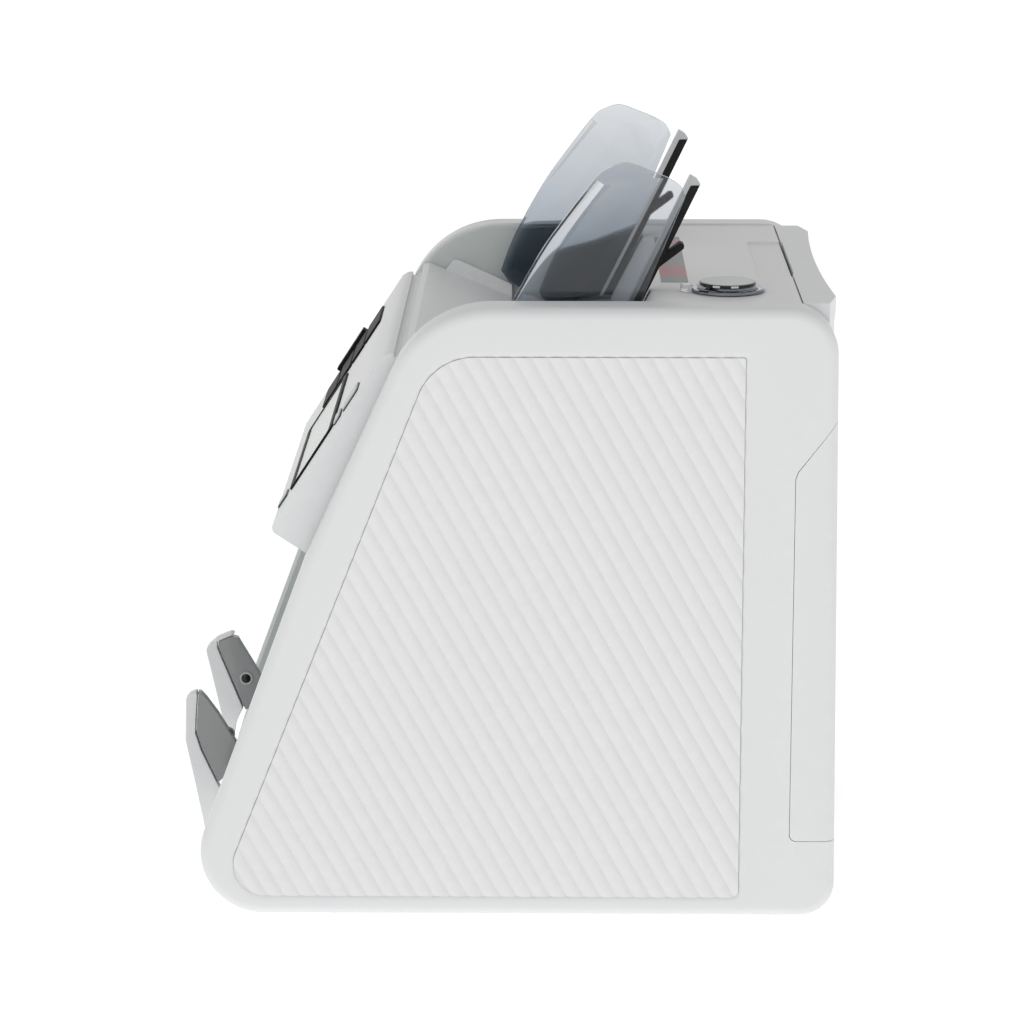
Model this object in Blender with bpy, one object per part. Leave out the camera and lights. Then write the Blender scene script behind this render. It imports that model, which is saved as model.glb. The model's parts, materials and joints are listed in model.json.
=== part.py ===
"""Banknote counting machine: a desk machine with a feed hopper on top and a stacker pocket in front.

All numbers are millimetres; MM turns them into metres when a mesh is made. X runs to the operator's
right, the front faces -Y and Z is up. The origin is the centre of the footprint, on the table.
"""

import math

import bmesh
import bpy
from mathutils import Vector

MM = 0.001
GAP = 0.4  # clearance between pieces that meet

# The body: two deep side covers with everything else between them.
HALF_WIDTH = 125.0
COVER_DEPTH = 18.0
COVER_WALL = 3.0
COVER_ROUND = 5.0
INNER_X = HALF_WIDTH - COVER_DEPTH - GAP  # half the room between the covers
LINER_X = (104.7, 106.6)
CHASSIS_X = (101.0, 102.6)
MID_X = 104.3  # half the width of the pieces between the liners
FOOT_HEIGHT = 3.7

# Corner circles (y, z, radius) of the side cover and of its ribbed inlay, counterclockwise from the front.
COVER_CORNERS = [(-103, 31, 27), (126, 19, 15), (118.5, 248, 20), (-4.6, 222, 46), (-28.7, 136.2, 60)]
INLAY_CORNERS = [(-101.6, 27, 14), (97, 16, 3), (99, 246.4, 1), (-12, 222.4, 25)]
INLAY_X = (123.7, 124.9)

# The control head: a slab whose face runs up and back from its bottom front corner.
HEAD_CORNER = (-99.7, 169.0)
HEAD_SLOPE = math.radians(56.95)
FACE_LENGTH = 90.8
HEAD_WALL = 2.5

# The deck and the hopper. REST_LEAN is how far back the note rests lean for each unit of height.
DECK_TOP = 267.2
DECK_FRONT = 60.7
DECK_REAR = 124.0
REST_LEAN = 0.486
REST_X = (71.0, 79.0)
REST_THICK = 6.6
GUIDE_X = (99.5, 102.1)
GUIDE_TRAVEL = 30.0

# Shafts run across the machine: (y, z) of each centre, and roller radii.
FEED_AT, FEED_R = (16.0, 213.0), 16.0
DRIVE_AT, DRIVE_R = (52.0, 178.0), 18.0
PINCH_AT, PINCH_R = (78.4, 180.0), 8.0
RETARD_AT, RETARD_R = (38.9, 221.0), 8.0
STACK_AT, STACK_R = (-46.0, 78.0), 36.0
MOTOR_AT, MOTOR_R = (42.0, 84.0), 27.0
SHAFT_R = 4.0
BORE_R = 4.4
ROLLER_X = (16.0, 28.0)
WHEEL_X = (26.0, 34.0)
DRIVE_BELT_X = (84.0, 87.0)
STACK_BELT_X = (90.0, 93.0)
MOTOR_PULLEY_R, DRIVE_PULLEY_R, STACK_PULLEY_R = 9.0, 14.0, 19.0
BELT = 1.6

# The stacker pocket, the rear door and the knob.
POCKET_PLATE = [(-92, 30), (-44.7, 160)]
# The stacker arms: label, x range, outline down to the floor's lip, and the window's outline.
ARMS = [
    (
        "right",
        (47, 53),
        [(-134.4, 17.8), (-139.1, 42.8), (-142.6, 60.3), (-142, 79.6), (-140.3, 81.5), (-137.3, 82.8)]
        + [(-137, 81), (-137.8, 70.7), (-138.2, 63.6), (-135.8, 55.7), (-127.9, 38.3), (-129.3, 30.5)],
        [(-136.6, 82.7), (-135.3, 82.3), (-133, 79.7), (-127.9, 72.5), (-119.1, 57.5), (-117.4, 46.5)]
        + [(-125.8, 43.1), (-128.5, 40.5), (-135.3, 55.8), (-137.7, 63.6), (-137.3, 70.7), (-136.5, 81)],
    ),
    (
        "left",
        (-53, -47),
        [(-134.1, 25.6), (-135.1, 38.5), (-138.8, 56.3), (-142.3, 72), (-142.6, 74.4), (-141.9, 76.1)]
        + [(-137.1, 80.2), (-130.8, 82.8), (-129.2, 82.2), (-130.7, 81.4), (-137.4, 78.5), (-137.5, 75.4)]
        + [(-135.6, 70.7), (-125.8, 45.8), (-127.4, 42.8), (-129.2, 38.4), (-130.6, 30.6)],
        [(-136.9, 78.1), (-130.6, 80.9), (-127.8, 80.2), (-117.6, 62.5), (-116, 59.4), (-118.2, 46.1)]
        + [(-124.8, 45.2), (-135.1, 70.7), (-136.9, 75.4)],
    ),
]
ARM_FOOT = [(-125.8, 19.5), (-124.4, 16.6), (-131, 15)]
DOOR_HINGE = (140.4, 39.2)
DOOR_BOTTOM = 38.4
KNOB_AT = (76.6, 94.2)

# Keys on the head's face: name, x range, range along the face from its lower edge, height above it.
KEYS = [
    ("key_left_1", (-90, -48), (25, 37), 1.0),
    ("key_left_2", (-90, -48), (38.2, 49), 1.0),
    ("key_left_3", (-90, -48), (50.2, 60.2), 1.0),
    ("key_left_4", (-90, -48), (61.4, 74), 1.0),
    ("key_start", (-101, -93), (35, 58.5), 2.4),
    ("key_right_upper", (70, 88), (57, 68), 1.0),
    ("key_right_lower", (70, 88), (49.8, 54.4), 1.0),
    ("key_power", (66, 80), (4, 11), 0.8),
]
WINDOW_X, WINDOW_S = (-38, 84), (14.5, 48)

MATERIALS = {
    "white": ((0.66, 0.66, 0.67), 0.45, 0.0),
    "grey": ((0.36, 0.38, 0.37), 0.4, 0.0),
    "smoke": ((0.09, 0.11, 0.13), 0.12, 0.0),
    "black": ((0.015, 0.015, 0.017), 0.3, 0.0),
    "steel": ((0.5, 0.5, 0.5), 0.35, 1.0),
    "chrome": ((0.6, 0.6, 0.62), 0.12, 1.0),
    "rubber": ((0.03, 0.03, 0.03), 0.8, 0.0),
    "board": ((0.02, 0.16, 0.06), 0.5, 0.0),
}


def clear_scene():
    for old in list(bpy.data.objects):
        bpy.data.objects.remove(old, do_unlink=True)


def material_for(name, kind):
    colour, rough, metal = MATERIALS[kind]
    made = bpy.data.materials.new(name)
    made.use_nodes = True
    shader = made.node_tree.nodes["Principled BSDF"]
    shader.inputs["Base Color"].default_value = (*colour, 1)
    shader.inputs["Roughness"].default_value = rough
    shader.inputs["Metallic"].default_value = metal
    return made


def solid(name, bm, kind, origin=(0, 0, 0), smooth=False):
    """An object from a bmesh in millimetres, with its origin at the given point."""
    bmesh.ops.recalc_face_normals(bm, faces=bm.faces)
    bmesh.ops.translate(bm, verts=bm.verts, vec=-Vector(origin))
    bmesh.ops.scale(bm, verts=bm.verts, vec=(MM, MM, MM))
    mesh = bpy.data.meshes.new(name)
    bm.to_mesh(mesh)
    bm.free()
    made = bpy.data.objects.new(name, mesh)
    made.location = Vector(origin) * MM
    bpy.context.collection.objects.link(made)
    if smooth:
        mesh.shade_smooth()
        mesh.set_sharp_from_angle(angle=math.radians(35))
    if kind:
        mesh.materials.append(material_for(name, kind))
    else:
        made.hide_render = True
        made.display_type = "WIRE"
    return made


def combine(target, other, operation):
    modifier = target.modifiers.new(operation.title(), "BOOLEAN")
    modifier.operation = operation
    modifier.object = other
    modifier.solver = "EXACT"


def cut(target, cutter):
    combine(target, cutter, "DIFFERENCE")


def join(target, other):
    combine(target, other, "UNION")


def band(corners, inset=0.0, step=15):
    """The outline of a belt round the corner circles, shrunk by inset, arcs cut about every step degrees."""
    count = len(corners)
    normals = []
    for i in range(count):
        (y0, z0, r0), (y1, z1, r1) = corners[i], corners[(i + 1) % count]
        along = math.atan2(z1 - z0, y1 - y0)
        normals.append(along - math.acos((r0 - r1) / math.hypot(y1 - y0, z1 - z0)))
    points = []
    for i, (y, z, radius) in enumerate(corners):
        start, end = normals[i - 1], normals[i]
        sweep = (end - start) % math.tau
        parts = max(2, round(math.degrees(sweep) / step))
        for k in range(parts + 1):
            angle = start + sweep * k / parts
            points.append((y + (radius - inset) * math.cos(angle), z + (radius - inset) * math.sin(angle)))
    return points


def arc(centre, radius, start, end, parts):
    """Points along a circular arc in the YZ plane, from start to end degrees."""
    angles = [math.radians(start + (end - start) * k / parts) for k in range(parts + 1)]
    return [(centre[0] + radius * math.cos(a), centre[1] + radius * math.sin(a)) for a in angles]


def loft(name, sections, kind, **more):
    """A solid through outlines in planes of constant x: sections are (x, points)."""
    bm = bmesh.new()
    rings = [[bm.verts.new((x, y, z)) for y, z in points] for x, points in sections]
    for low, high in zip(rings, rings[1:]):
        for i in range(len(low)):
            bm.faces.new((low[i - 1], low[i], high[i], high[i - 1]))
    bm.faces.new(rings[0])
    bm.faces.new(rings[-1])
    return solid(name, bm, kind, **more)


def prism(name, points, x_range, kind=None, **more):
    """A YZ outline extruded along X."""
    return loft(name, [(x, points) for x in x_range], kind, **more)


def box(name, x_range, y_range, z_range, kind=None, **more):
    (y0, y1), (z0, z1) = y_range, z_range
    return prism(name, [(y0, z0), (y1, z0), (y1, z1), (y0, z1)], x_range, kind, **more)


def turned(name, at, profile, kind=None, sides=24, axis="X", **more):
    """A profile of (along, radius) turned about an axis through a point."""
    bm = bmesh.new()
    origin, ahead, across = Vector(at), Vector((1, 0, 0)), Vector((0, 0, 1))
    if axis == "Z":
        ahead, across = Vector((0, 0, 1)), Vector((1, 0, 0))
    verts = [bm.verts.new(origin + ahead * along + across * radius) for along, radius in profile]
    edges = [bm.edges.new(pair) for pair in zip(verts, verts[1:])]
    if profile[0][1] > 0:
        edges.append(bm.edges.new((verts[-1], verts[0])))
    bmesh.ops.spin(bm, geom=verts + edges, cent=origin, axis=ahead, angle=math.tau, steps=sides)
    bmesh.ops.remove_doubles(bm, verts=bm.verts, dist=0.001)
    return solid(name, bm, kind, smooth=True, **more)


def rod(name, at, x_range, radius, kind=None, sides=16, **more):
    profile = [(x_range[0], 0), (x_range[0], radius), (x_range[1], radius), (x_range[1], 0)]
    return turned(name, (0, *at), profile, kind, sides, **more)


def mirrored(x_range, side):
    return tuple(sorted(side * x for x in x_range))


def face_point(along, out):
    """(y, z) of a point on the head's face: along it from the lower edge, and out from it."""
    y = HEAD_CORNER[0] + along * math.cos(HEAD_SLOPE) - out * math.sin(HEAD_SLOPE)
    z = HEAD_CORNER[1] + along * math.sin(HEAD_SLOPE) + out * math.cos(HEAD_SLOPE)
    return (y, z)


def face_block(name, x_range, s_range, n_range, kind=None, **more):
    """A block square to the head's face."""
    (s0, s1), (n0, n1) = s_range, n_range
    corners = [face_point(s0, n0), face_point(s1, n0), face_point(s1, n1), face_point(s0, n1)]
    return prism(name, corners, x_range, kind, **more)


def rear_face(z):
    """y of the covers' rear edge, which leans in slightly towards the top."""
    return 141.2 - 0.01174 * (z - 19)


def wing_outline(grow=0.0):
    """The side outline of the rear door's wings; grow widens it for the covers' cut-outs."""
    low, front = DOOR_BOTTOM - grow, 121.4 - grow
    beyond = rear_face(low) + 2
    points = [(front + 3, low), (beyond, low), (beyond, 220.5 + grow + 4)]
    points += [(rear_face(221), 220.5 + grow), (front + 1, 199 + grow), (front, 196 + grow), (front, low + 3)]
    return points


def rest_line(z, forward=0.0):
    """y of the hopper's rear wall at a height, or of a plane in front of it."""
    return DECK_FRONT + REST_LEAN * (z - DECK_TOP) - forward


def side_cover(side, label):
    outline = band(COVER_CORNERS)
    sections = [(HALF_WIDTH - COVER_DEPTH, outline), (HALF_WIDTH - COVER_ROUND, outline)]
    for angle in (30, 60, 90):
        turn = math.radians(angle)
        x = HALF_WIDTH - COVER_ROUND * (1 - math.sin(turn))
        sections.append((x, band(COVER_CORNERS, COVER_ROUND * (1 - math.cos(turn)))))
    cover = loft(f"{label}_side_cover", [(side * x, points) for x, points in sections], "white", smooth=True)
    hollow = mirrored((HALF_WIDTH - COVER_DEPTH - 2, HALF_WIDTH - COVER_WALL), side)
    cut(cover, prism(f"{label}_cover_hollow", band(COVER_CORNERS, COVER_WALL), hollow))
    recess = mirrored((INLAY_X[0] - GAP, HALF_WIDTH + 2), side)
    cut(cover, prism(f"{label}_cover_recess", band(INLAY_CORNERS), recess))
    notch = mirrored((HALF_WIDTH - COVER_DEPTH - 2, HALF_WIDTH + 2), side)
    cut(cover, prism(f"{label}_cover_notch", wing_outline(GAP), notch))
    prism(f"{label}_rib_inlay", band(INLAY_CORNERS, GAP), mirrored(INLAY_X, side), "white")
    liner = prism(f"{label}_liner", band(COVER_CORNERS, 1.2), mirrored(LINER_X, side), "grey")
    deck_room = [(rest_line(236, GAP), 236), (rest_line(270, GAP), 270), (150, 270), (150, 2)]
    deck_room += [(108, 2), (108, 236)]
    cut(liner, prism(f"{label}_liner_cut", deck_room, mirrored((100, 110), side)))


def chassis_plate(side, label):
    outline = [(-83, 22), (112, 22), (112, 212), (62, 224), (4, 224), (-38, 150)]
    plate = prism(f"{label}_chassis_plate", outline, mirrored(CHASSIS_X, side), "steel")
    wide = mirrored((CHASSIS_X[0] - 2, CHASSIS_X[1] + 2), side)
    for i, centre in enumerate((FEED_AT, DRIVE_AT, PINCH_AT, STACK_AT, RETARD_AT)):
        radius = RETARD_R if centre == RETARD_AT else BORE_R
        cut(plate, rod(f"{label}_chassis_hole_{i}", centre, wide, radius))
    window = [(-8, 40), (96, 40), (96, 58), (10, 58)]
    cut(plate, prism(f"{label}_chassis_window", window, wide))


def base_and_feet():
    tray = box("base_tray", (-MID_X, MID_X), (-104, 117), (FOOT_HEIGHT + GAP, 20), "steel")
    cut(tray, box("tray_hollow", (-MID_X + 1.6, MID_X - 1.6), (-102.4, 115.4), (FOOT_HEIGHT + 2, 24)))
    for side, label in ((1, "right"), (-1, "left")):
        for y, end in ((-80, "front"), (102, "rear")):
            profile = [(0, 0), (0, 8.5), (FOOT_HEIGHT, 10), (FOOT_HEIGHT, 0)]
            turned(f"foot_{end}_{label}", (side * 88, y, 0), profile, "rubber", axis="Z")


def deck_and_hopper():
    wall_foot = 238
    outline = [(rest_line(wall_foot), wall_foot), (DECK_FRONT, DECK_TOP), (DECK_REAR, DECK_TOP)]
    outline += [(DECK_REAR, DECK_TOP - 2.8), (DECK_FRONT + 1.8, DECK_TOP - 2.8)]
    outline.append((rest_line(wall_foot) + 3, wall_foot))
    deck = prism("top_deck", outline, (-INNER_X, INNER_X), "white")
    cut(deck, box("finger_recess", (-57, 39), (109.5, 130), (DECK_TOP - 1, DECK_TOP + 3)))
    cut(deck, turned("knob_hole", (*KNOB_AT, 0), [(255, 0), (255, 5.4), (275, 5.4), (275, 0)], axis="Z"))
    funnel = [(-41.4, 248.9), (-38.5, 249.5), (0.5, 233.7), (0.5, 230.7), (-38.5, 245.7), (-41.4, 245.7)]
    prism("hopper_front", funnel, (-MID_X, MID_X), "white")
    bed = prism("feed_bed", [(1, 231.4), (28, 224.6), (28, 222.2), (1, 229)], (-100.5, 100.5), "grey")
    for side, label in ((1, "right"), (-1, "left")):
        slot = mirrored((ROLLER_X[0] - 1, ROLLER_X[1] + 1), side)
        cut(bed, box(f"roller_slot_{label}", slot, (2.5, 31), (215, 240)))
        notch = mirrored((GUIDE_X[0] - GUIDE_TRAVEL - 6, 103), side)
        cut(bed, box(f"guide_slot_{label}", notch, (21.5, 25.5), (215, 240)))


def control_head():
    top = face_point(FACE_LENGTH, 0)
    low = face_point(0, -30)
    outline = [face_point(0, -1.5), face_point(1.5, 0), face_point(FACE_LENGTH - 1.5, 0)]
    outline += [(top[0] + 1.5, top[1]), (-42, top[1]), (-42, 238), low]
    head = prism("head_housing", outline, (-MID_X, MID_X), "white")
    inner = [face_point(HEAD_WALL, -HEAD_WALL), face_point(FACE_LENGTH - 3, -HEAD_WALL)]
    inner += [(-30, top[1] - HEAD_WALL), (-30, 238), face_point(HEAD_WALL, -40)]
    cut(head, prism("head_hollow", inner, (-MID_X + HEAD_WALL, MID_X - HEAD_WALL)))
    for name, x_range, s_range, height in KEYS:
        hole_x = (x_range[0] - GAP, x_range[1] + GAP)
        hole_s = (s_range[0] - GAP, s_range[1] + GAP)
        cut(head, face_block(f"{name}_hole", hole_x, hole_s, (-6, 6)))
        middle_x, middle_s = sum(x_range) / 2, sum(s_range) / 2
        origin = (middle_x, *face_point(middle_s, 0))
        face_block(name, x_range, s_range, (-5, height), "black", origin=origin)
    pocket_x, pocket_s = (WINDOW_X[0] - GAP, WINDOW_X[1] + GAP), (WINDOW_S[0] - GAP, WINDOW_S[1] + GAP)
    cut(head, face_block("window_pocket", pocket_x, pocket_s, (-1.2, 6)))
    face_block("display_window", WINDOW_X, WINDOW_S, (-0.8, 0.9), "black")


def guide_outline():
    """Side outline of a hopper guide plate, with a long curved front edge and a round top."""
    front = [(-4.7, 246.6), (2, 264), (14.6, 287), (24.3, 301), (37.7, 318.4)]
    crown = [(43.5, 323), (51, 325), (60, 322), (68, 318.7), (73, 315.3), (75, 311)]
    return front + crown + [(55, 262), (42, 236), (8, 236), (-1.2, 241.7)]


def guides_and_rests():
    for side, label in ((1, "right"), (-1, "left")):
        guide = prism(f"hopper_guide_{label}", guide_outline(), mirrored(GUIDE_X, side), "smoke")
        foot_x = mirrored((GUIDE_X[0] - 3, GUIDE_X[0] + 0.4), side)
        join(guide, box(f"guide_foot_{label}", foot_x, (22, 25), (219.5, 240)))
        low, high = 240, 311.4
        outline = [(rest_line(low, GAP), low), (rest_line(high, GAP), high)]
        outline += [(rest_line(high, GAP) - 1.5, high + 3), (rest_line(316, REST_THICK), 316.4)]
        outline.append((rest_line(low, REST_THICK), low))
        rest = prism(f"note_rest_{label}", outline, mirrored(REST_X, side), "grey")
        tie = [(rest_line(241, GAP + 0.2), 241), (rest_line(247, GAP + 0.2), 247)]
        tie += [(rest_line(247, 3.5), 247), (rest_line(241, 3.5), 241)]
        join(rest, prism(f"rest_tie_{label}", tie, mirrored((REST_X[1] - 1, GUIDE_X[0] - GAP), side)))
        tab = [(62, 275.2), (75.3, 285.0), (75.6, 286.6), (74.2, 287.4), (62, 278.4)]
        join(rest, prism(f"rest_tab_{label}", tab, mirrored((REST_X[0] + 1, REST_X[1] - 1), side)))


def roller_pair(name, at, radius, x_range, kind):
    for side, label in ((1, "right"), (-1, "left")):
        x0, x1 = mirrored(x_range, side)
        profile = [(x0, BORE_R), (x0, radius), (x1, radius), (x1, BORE_R)]
        turned(f"{name}_{label}", (0, *at), profile, kind, origin=(0, *at))


def finned_wheel(name, x_range):
    """A stacker wheel: a hub with thin fins that sweep back as they run out."""
    fins, hub, thickness = 10, 15.0, 2.2
    outline = []
    for fin in range(fins):
        base = math.tau * fin / fins
        for radius, edge in ((hub, 0), (26, 0), (STACK_R, 0), (STACK_R, 1), (26, 1), (hub, 1)):
            angle = base + math.radians(42) * (radius - hub) / (STACK_R - hub) + edge * thickness / radius
            outline.append((STACK_AT[0] + radius * math.cos(angle), STACK_AT[1] + radius * math.sin(angle)))
    wheel = prism(name, outline, x_range, "rubber", origin=(0, *STACK_AT))
    cut(wheel, rod(f"{name}_bore", STACK_AT, (x_range[0] - 2, x_range[1] + 2), BORE_R))


def shaft(name, at, pulley=None):
    """A steel shaft across the machine; pulley gives the x range and radius of a pulley on it."""
    end = LINER_X[0] - 0.8
    profile = [(-end, 0), (-end, SHAFT_R)]
    if pulley:
        (x0, x1), radius = pulley
        profile += [(x0, SHAFT_R), (x0, radius), (x1, radius), (x1, SHAFT_R)]
    profile += [(end, SHAFT_R), (end, 0)]
    turned(name, (0, *at), profile, "steel", origin=(0, *at))


def belt(name, ends, x_range):
    """A flat belt round two pulleys, given as (y, z, radius)."""
    hoop = prism(name, band(ends, -BELT - GAP), x_range, "rubber")
    cut(hoop, prism(f"{name}_inside", band(ends, -GAP), (x_range[0] - 1, x_range[1] + 1)))


def transport():
    shaft("feed_shaft", FEED_AT)
    roller_pair("feed_roller", FEED_AT, FEED_R, ROLLER_X, "rubber")
    shaft("drive_shaft", DRIVE_AT, ((DRIVE_BELT_X[0] - 0.5, DRIVE_BELT_X[1] + 0.5), DRIVE_PULLEY_R))
    roller_pair("drive_roller", DRIVE_AT, DRIVE_R, ROLLER_X, "rubber")
    reach = LINER_X[0] - 0.8
    pinch = [(-reach, 0), (-reach, SHAFT_R), (-28, SHAFT_R), (-28, PINCH_R), (-16, PINCH_R), (-16, SHAFT_R)]
    pinch += [(-x, radius) for x, radius in reversed(pinch)]
    turned("pinch_roller_shaft", (0, *PINCH_AT), pinch, "steel", origin=(0, *PINCH_AT))
    retard = [(-98, 0), (-98, 3), (-30, 3), (-30, RETARD_R), (30, RETARD_R), (30, 3), (98, 3), (98, 0)]
    turned("retard_roller", (0, *RETARD_AT), retard, "rubber")
    shaft("stacker_shaft", STACK_AT, ((STACK_BELT_X[0] - 0.5, STACK_BELT_X[1] + 0.5), STACK_PULLEY_R))
    finned_wheel("stacker_wheel_right", WHEEL_X)
    finned_wheel("stacker_wheel_left", mirrored(WHEEL_X, -1))
    motor = [(8, 0), (8, 10), (10, MOTOR_R), (66, MOTOR_R), (70, 12), (70, 0)]
    turned("motor", (0, *MOTOR_AT), motor, "steel")
    pulley = [(70.5, 0), (70.5, 3), (83, 3), (83, MOTOR_PULLEY_R), (94, MOTOR_PULLEY_R), (94, 0)]
    turned("motor_pulley", (0, *MOTOR_AT), pulley, "steel", origin=(0, *MOTOR_AT))
    belt("drive_belt", [(*MOTOR_AT, MOTOR_PULLEY_R), (*DRIVE_AT, DRIVE_PULLEY_R)], DRIVE_BELT_X)
    belt("stacker_belt", [(*MOTOR_AT, MOTOR_PULLEY_R), (*STACK_AT, STACK_PULLEY_R)], STACK_BELT_X)
    box("sensor_bar", (-80, 80), (58, 68), (203, 211), "black")
    box("main_board", (-82, 82), (104, 105.8), (60, 176), "board")
    box("power_supply", (-92, -8), (36, 98), (22, 50), "steel")


def stacker():
    (y0, z0), (y1, z1) = POCKET_PLATE
    sheet = [(y0, z0), (y0 + 2.6, z0), (y1 + 2.6, z1), (y1, z1)]
    plate = prism("stacker_plate", sheet, (-MID_X, MID_X), "grey")
    for side, label in ((1, "right"), (-1, "left")):
        slot = mirrored((WHEEL_X[0] - 1.5, WHEEL_X[1] + 1.5), side)
        cut(plate, box(f"wheel_slot_{label}", slot, (-100, -40), (42, 118)))
    toe_y, toe_z, toe_radius = COVER_CORNERS[0]
    floor = arc((toe_y, toe_z), toe_radius - 2.5, 250, 159, 7) + [(-124.5, 42.6), (-92.5, 29.6), (-92.5, 27)]
    floor += [(-122, 38.4)] + arc((toe_y, toe_z), toe_radius - 5, 165, 250, 6)
    prism("stacker_floor", floor, (-MID_X, MID_X), "white")
    for label, x_range, outline, pane in ARMS:
        prism(f"stacker_arm_{label}", outline + ARM_FOOT, x_range, "white")
        prism(f"arm_window_{label}", pane, (x_range[0] + 1.5, x_range[1] - 1.5), "smoke")


def rear_end():
    rounds = [(HALF_WIDTH, COVER_ROUND), (HALF_WIDTH - 1.5, 1.5), (HALF_WIDTH - COVER_ROUND, 0)]
    left_half = [(-x, band(COVER_CORNERS, inset)) for x, inset in rounds]
    right_half = [(x, band(COVER_CORNERS, inset)) for x, inset in reversed(rounds)]
    envelope = loft("body_envelope", left_half + right_half, None)
    door = prism("rear_door", wing_outline(), (-HALF_WIDTH, HALF_WIDTH), "white", origin=(0, *DOOR_HINGE))
    combine(door, envelope, "INTERSECT")
    front = DECK_REAR + 0.6
    centre = [(front, 60), (137, 60), (139.4, 215), (138.4, 257), (140, 264.5), (139.4, DECK_TOP)]
    centre.append((front, DECK_TOP))
    join(door, prism("door_centre", centre, (-INNER_X + GAP, INNER_X - GAP)))
    low, high = DOOR_BOTTOM + 3.4, 263.5
    wing_room = [(110, low), (rear_face(low) - 3.4, low), (rear_face(210) - 3.4, 212.5), (110, 182)]
    cut(door, prism("wing_room", wing_room, (-HALF_WIDTH + 3.2, HALF_WIDTH - 3.2)))
    room = [(110, low), (135.6, low), (136, 215), (135.2, high), (110, high)]
    cut(door, prism("door_room", room, (-INNER_X + 3.4, INNER_X - 3.4)))
    cut(door, box("finger_gap", (-57, 32), (120, front + 0.6), (DECK_TOP - 6, DECK_TOP + 4)))
    scoop = [(30, 0), (30, 1494), (200, 1497), (257, 1500), (285, 1500), (285, 0)]
    cut(door, turned("rear_scoop", (0, 1636.6, 0), scoop, axis="Z", sides=360))
    heel_y, heel_z, heel_radius = COVER_CORNERS[1]
    panel = arc((heel_y, heel_z), heel_radius - 1.5, 275, 360, 6) + [(139.5, 36.8), (122, 36.8), (122, 34.2)]
    panel += [(136.5, 34.2)] + arc((heel_y, heel_z), heel_radius - 4.5, 360, 275, 6)
    panel = prism("rear_panel", panel, (-INNER_X, INNER_X), "grey")
    cut(panel, box("inlet_hole", (-84.4, -53.6), (124, 145), (13.6, 33.4)))
    cut(panel, box("switch_hole", (-46.4, -31.6), (124, 145), (14.6, 33.4)))
    inlet = box("power_inlet", (-84, -54), (119, 139), (14, 33), "black")
    cut(inlet, box("inlet_socket", (-80, -58), (125, 142), (17, 30)))
    middle = (-39, 136.5, 24)
    rocker = [(131, 16), (137.5, 16), (139.4, 16.6), (138.2, 24), (139.4, 31.4), (137.5, 32), (131, 32)]
    prism("power_rocker", rocker, (-45, -33), "black", origin=middle)


def knob():
    x, y = KNOB_AT
    ring = [(267.6, 6), (267.6, 15.8), (268.8, 15.8), (269.6, 14.4), (269.6, 6)]
    turned("knob_ring", (x, y, 0), ring, "chrome", sides=36, axis="Z")
    cap = [(240, 0), (240, 4.8), (269.9, 4.8), (269.9, 12), (271.3, 11.9), (271.6, 11.4), (271.6, 0)]
    turned("knob_cap", (x, y, 0), cap, "black", sides=36, axis="Z", origin=(x, y, DECK_TOP))


def build():
    clear_scene()
    for side, label in ((1, "right"), (-1, "left")):
        side_cover(side, label)
        chassis_plate(side, label)
    base_and_feet()
    deck_and_hopper()
    control_head()
    guides_and_rests()
    transport()
    stacker()
    rear_end()
    knob()


build()
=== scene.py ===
"""The looks of a banknote counting machine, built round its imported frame.

Shapes are worked out in millimetres and scaled once, when a mesh is made. X runs to the operator's right,
the front faces -Y and Z is up. Every finished piece sits at the origin with its place in its mesh.
"""

import json
import math
import random

import bmesh
import bpy
from mathutils import Matrix, Vector

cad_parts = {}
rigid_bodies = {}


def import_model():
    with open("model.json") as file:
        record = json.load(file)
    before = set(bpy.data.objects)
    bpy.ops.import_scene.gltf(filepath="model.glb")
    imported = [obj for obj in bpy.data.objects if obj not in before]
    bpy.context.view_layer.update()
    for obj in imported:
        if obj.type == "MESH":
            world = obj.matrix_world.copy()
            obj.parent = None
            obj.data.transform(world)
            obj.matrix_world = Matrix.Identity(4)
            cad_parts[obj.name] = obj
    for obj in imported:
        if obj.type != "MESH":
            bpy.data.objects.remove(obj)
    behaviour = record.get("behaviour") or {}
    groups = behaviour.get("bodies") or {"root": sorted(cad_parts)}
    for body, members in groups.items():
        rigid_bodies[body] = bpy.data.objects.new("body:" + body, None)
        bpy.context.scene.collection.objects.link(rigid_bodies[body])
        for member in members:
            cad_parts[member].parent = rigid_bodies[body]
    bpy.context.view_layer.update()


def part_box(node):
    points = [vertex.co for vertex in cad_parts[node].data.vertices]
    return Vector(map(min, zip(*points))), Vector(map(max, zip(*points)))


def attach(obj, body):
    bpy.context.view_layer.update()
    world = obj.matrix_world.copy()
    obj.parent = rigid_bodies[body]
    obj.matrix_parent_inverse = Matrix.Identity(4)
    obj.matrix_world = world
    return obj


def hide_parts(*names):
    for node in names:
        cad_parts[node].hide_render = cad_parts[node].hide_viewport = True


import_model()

MM = 0.001
GAP = 0.4  # clearance between casing pieces
PAINTED_SHADE_HEIGHTS = (0.25, 0.325)  # metres: where the guides' painted shade is deepest, and where it has faded to their plain tint
LABEL_BANDS = ((-0.061, -0.045), (0.013, 0.040))  # metres along X
CAMERA_AT, CAMERA_TILT, CAMERA_TURN, CAMERA_LENS = (1.5947, 0.0224, 0.5281), 13.25, 0.74, 127.4
LABELS = ((1, "right"), (-1, "left"))


def reach(node):
    """A CAD node's lowest and highest corner, in millimetres."""
    low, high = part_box(node)
    return low / MM, high / MM


# ---------------------------------------------------------------- driving sizes

HALF_WIDTH = reach("right_side_cover")[1].x
COVER_INNER = reach("right_side_cover")[0].x
COVER_WALL = 3.0
COVER_ROUND = 5.0
INNER_X = reach("top_deck")[1].x
MID_X = reach("head_housing")[1].x
LINER_X = (reach("right_liner")[0].x, reach("right_liner")[1].x)

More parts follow.
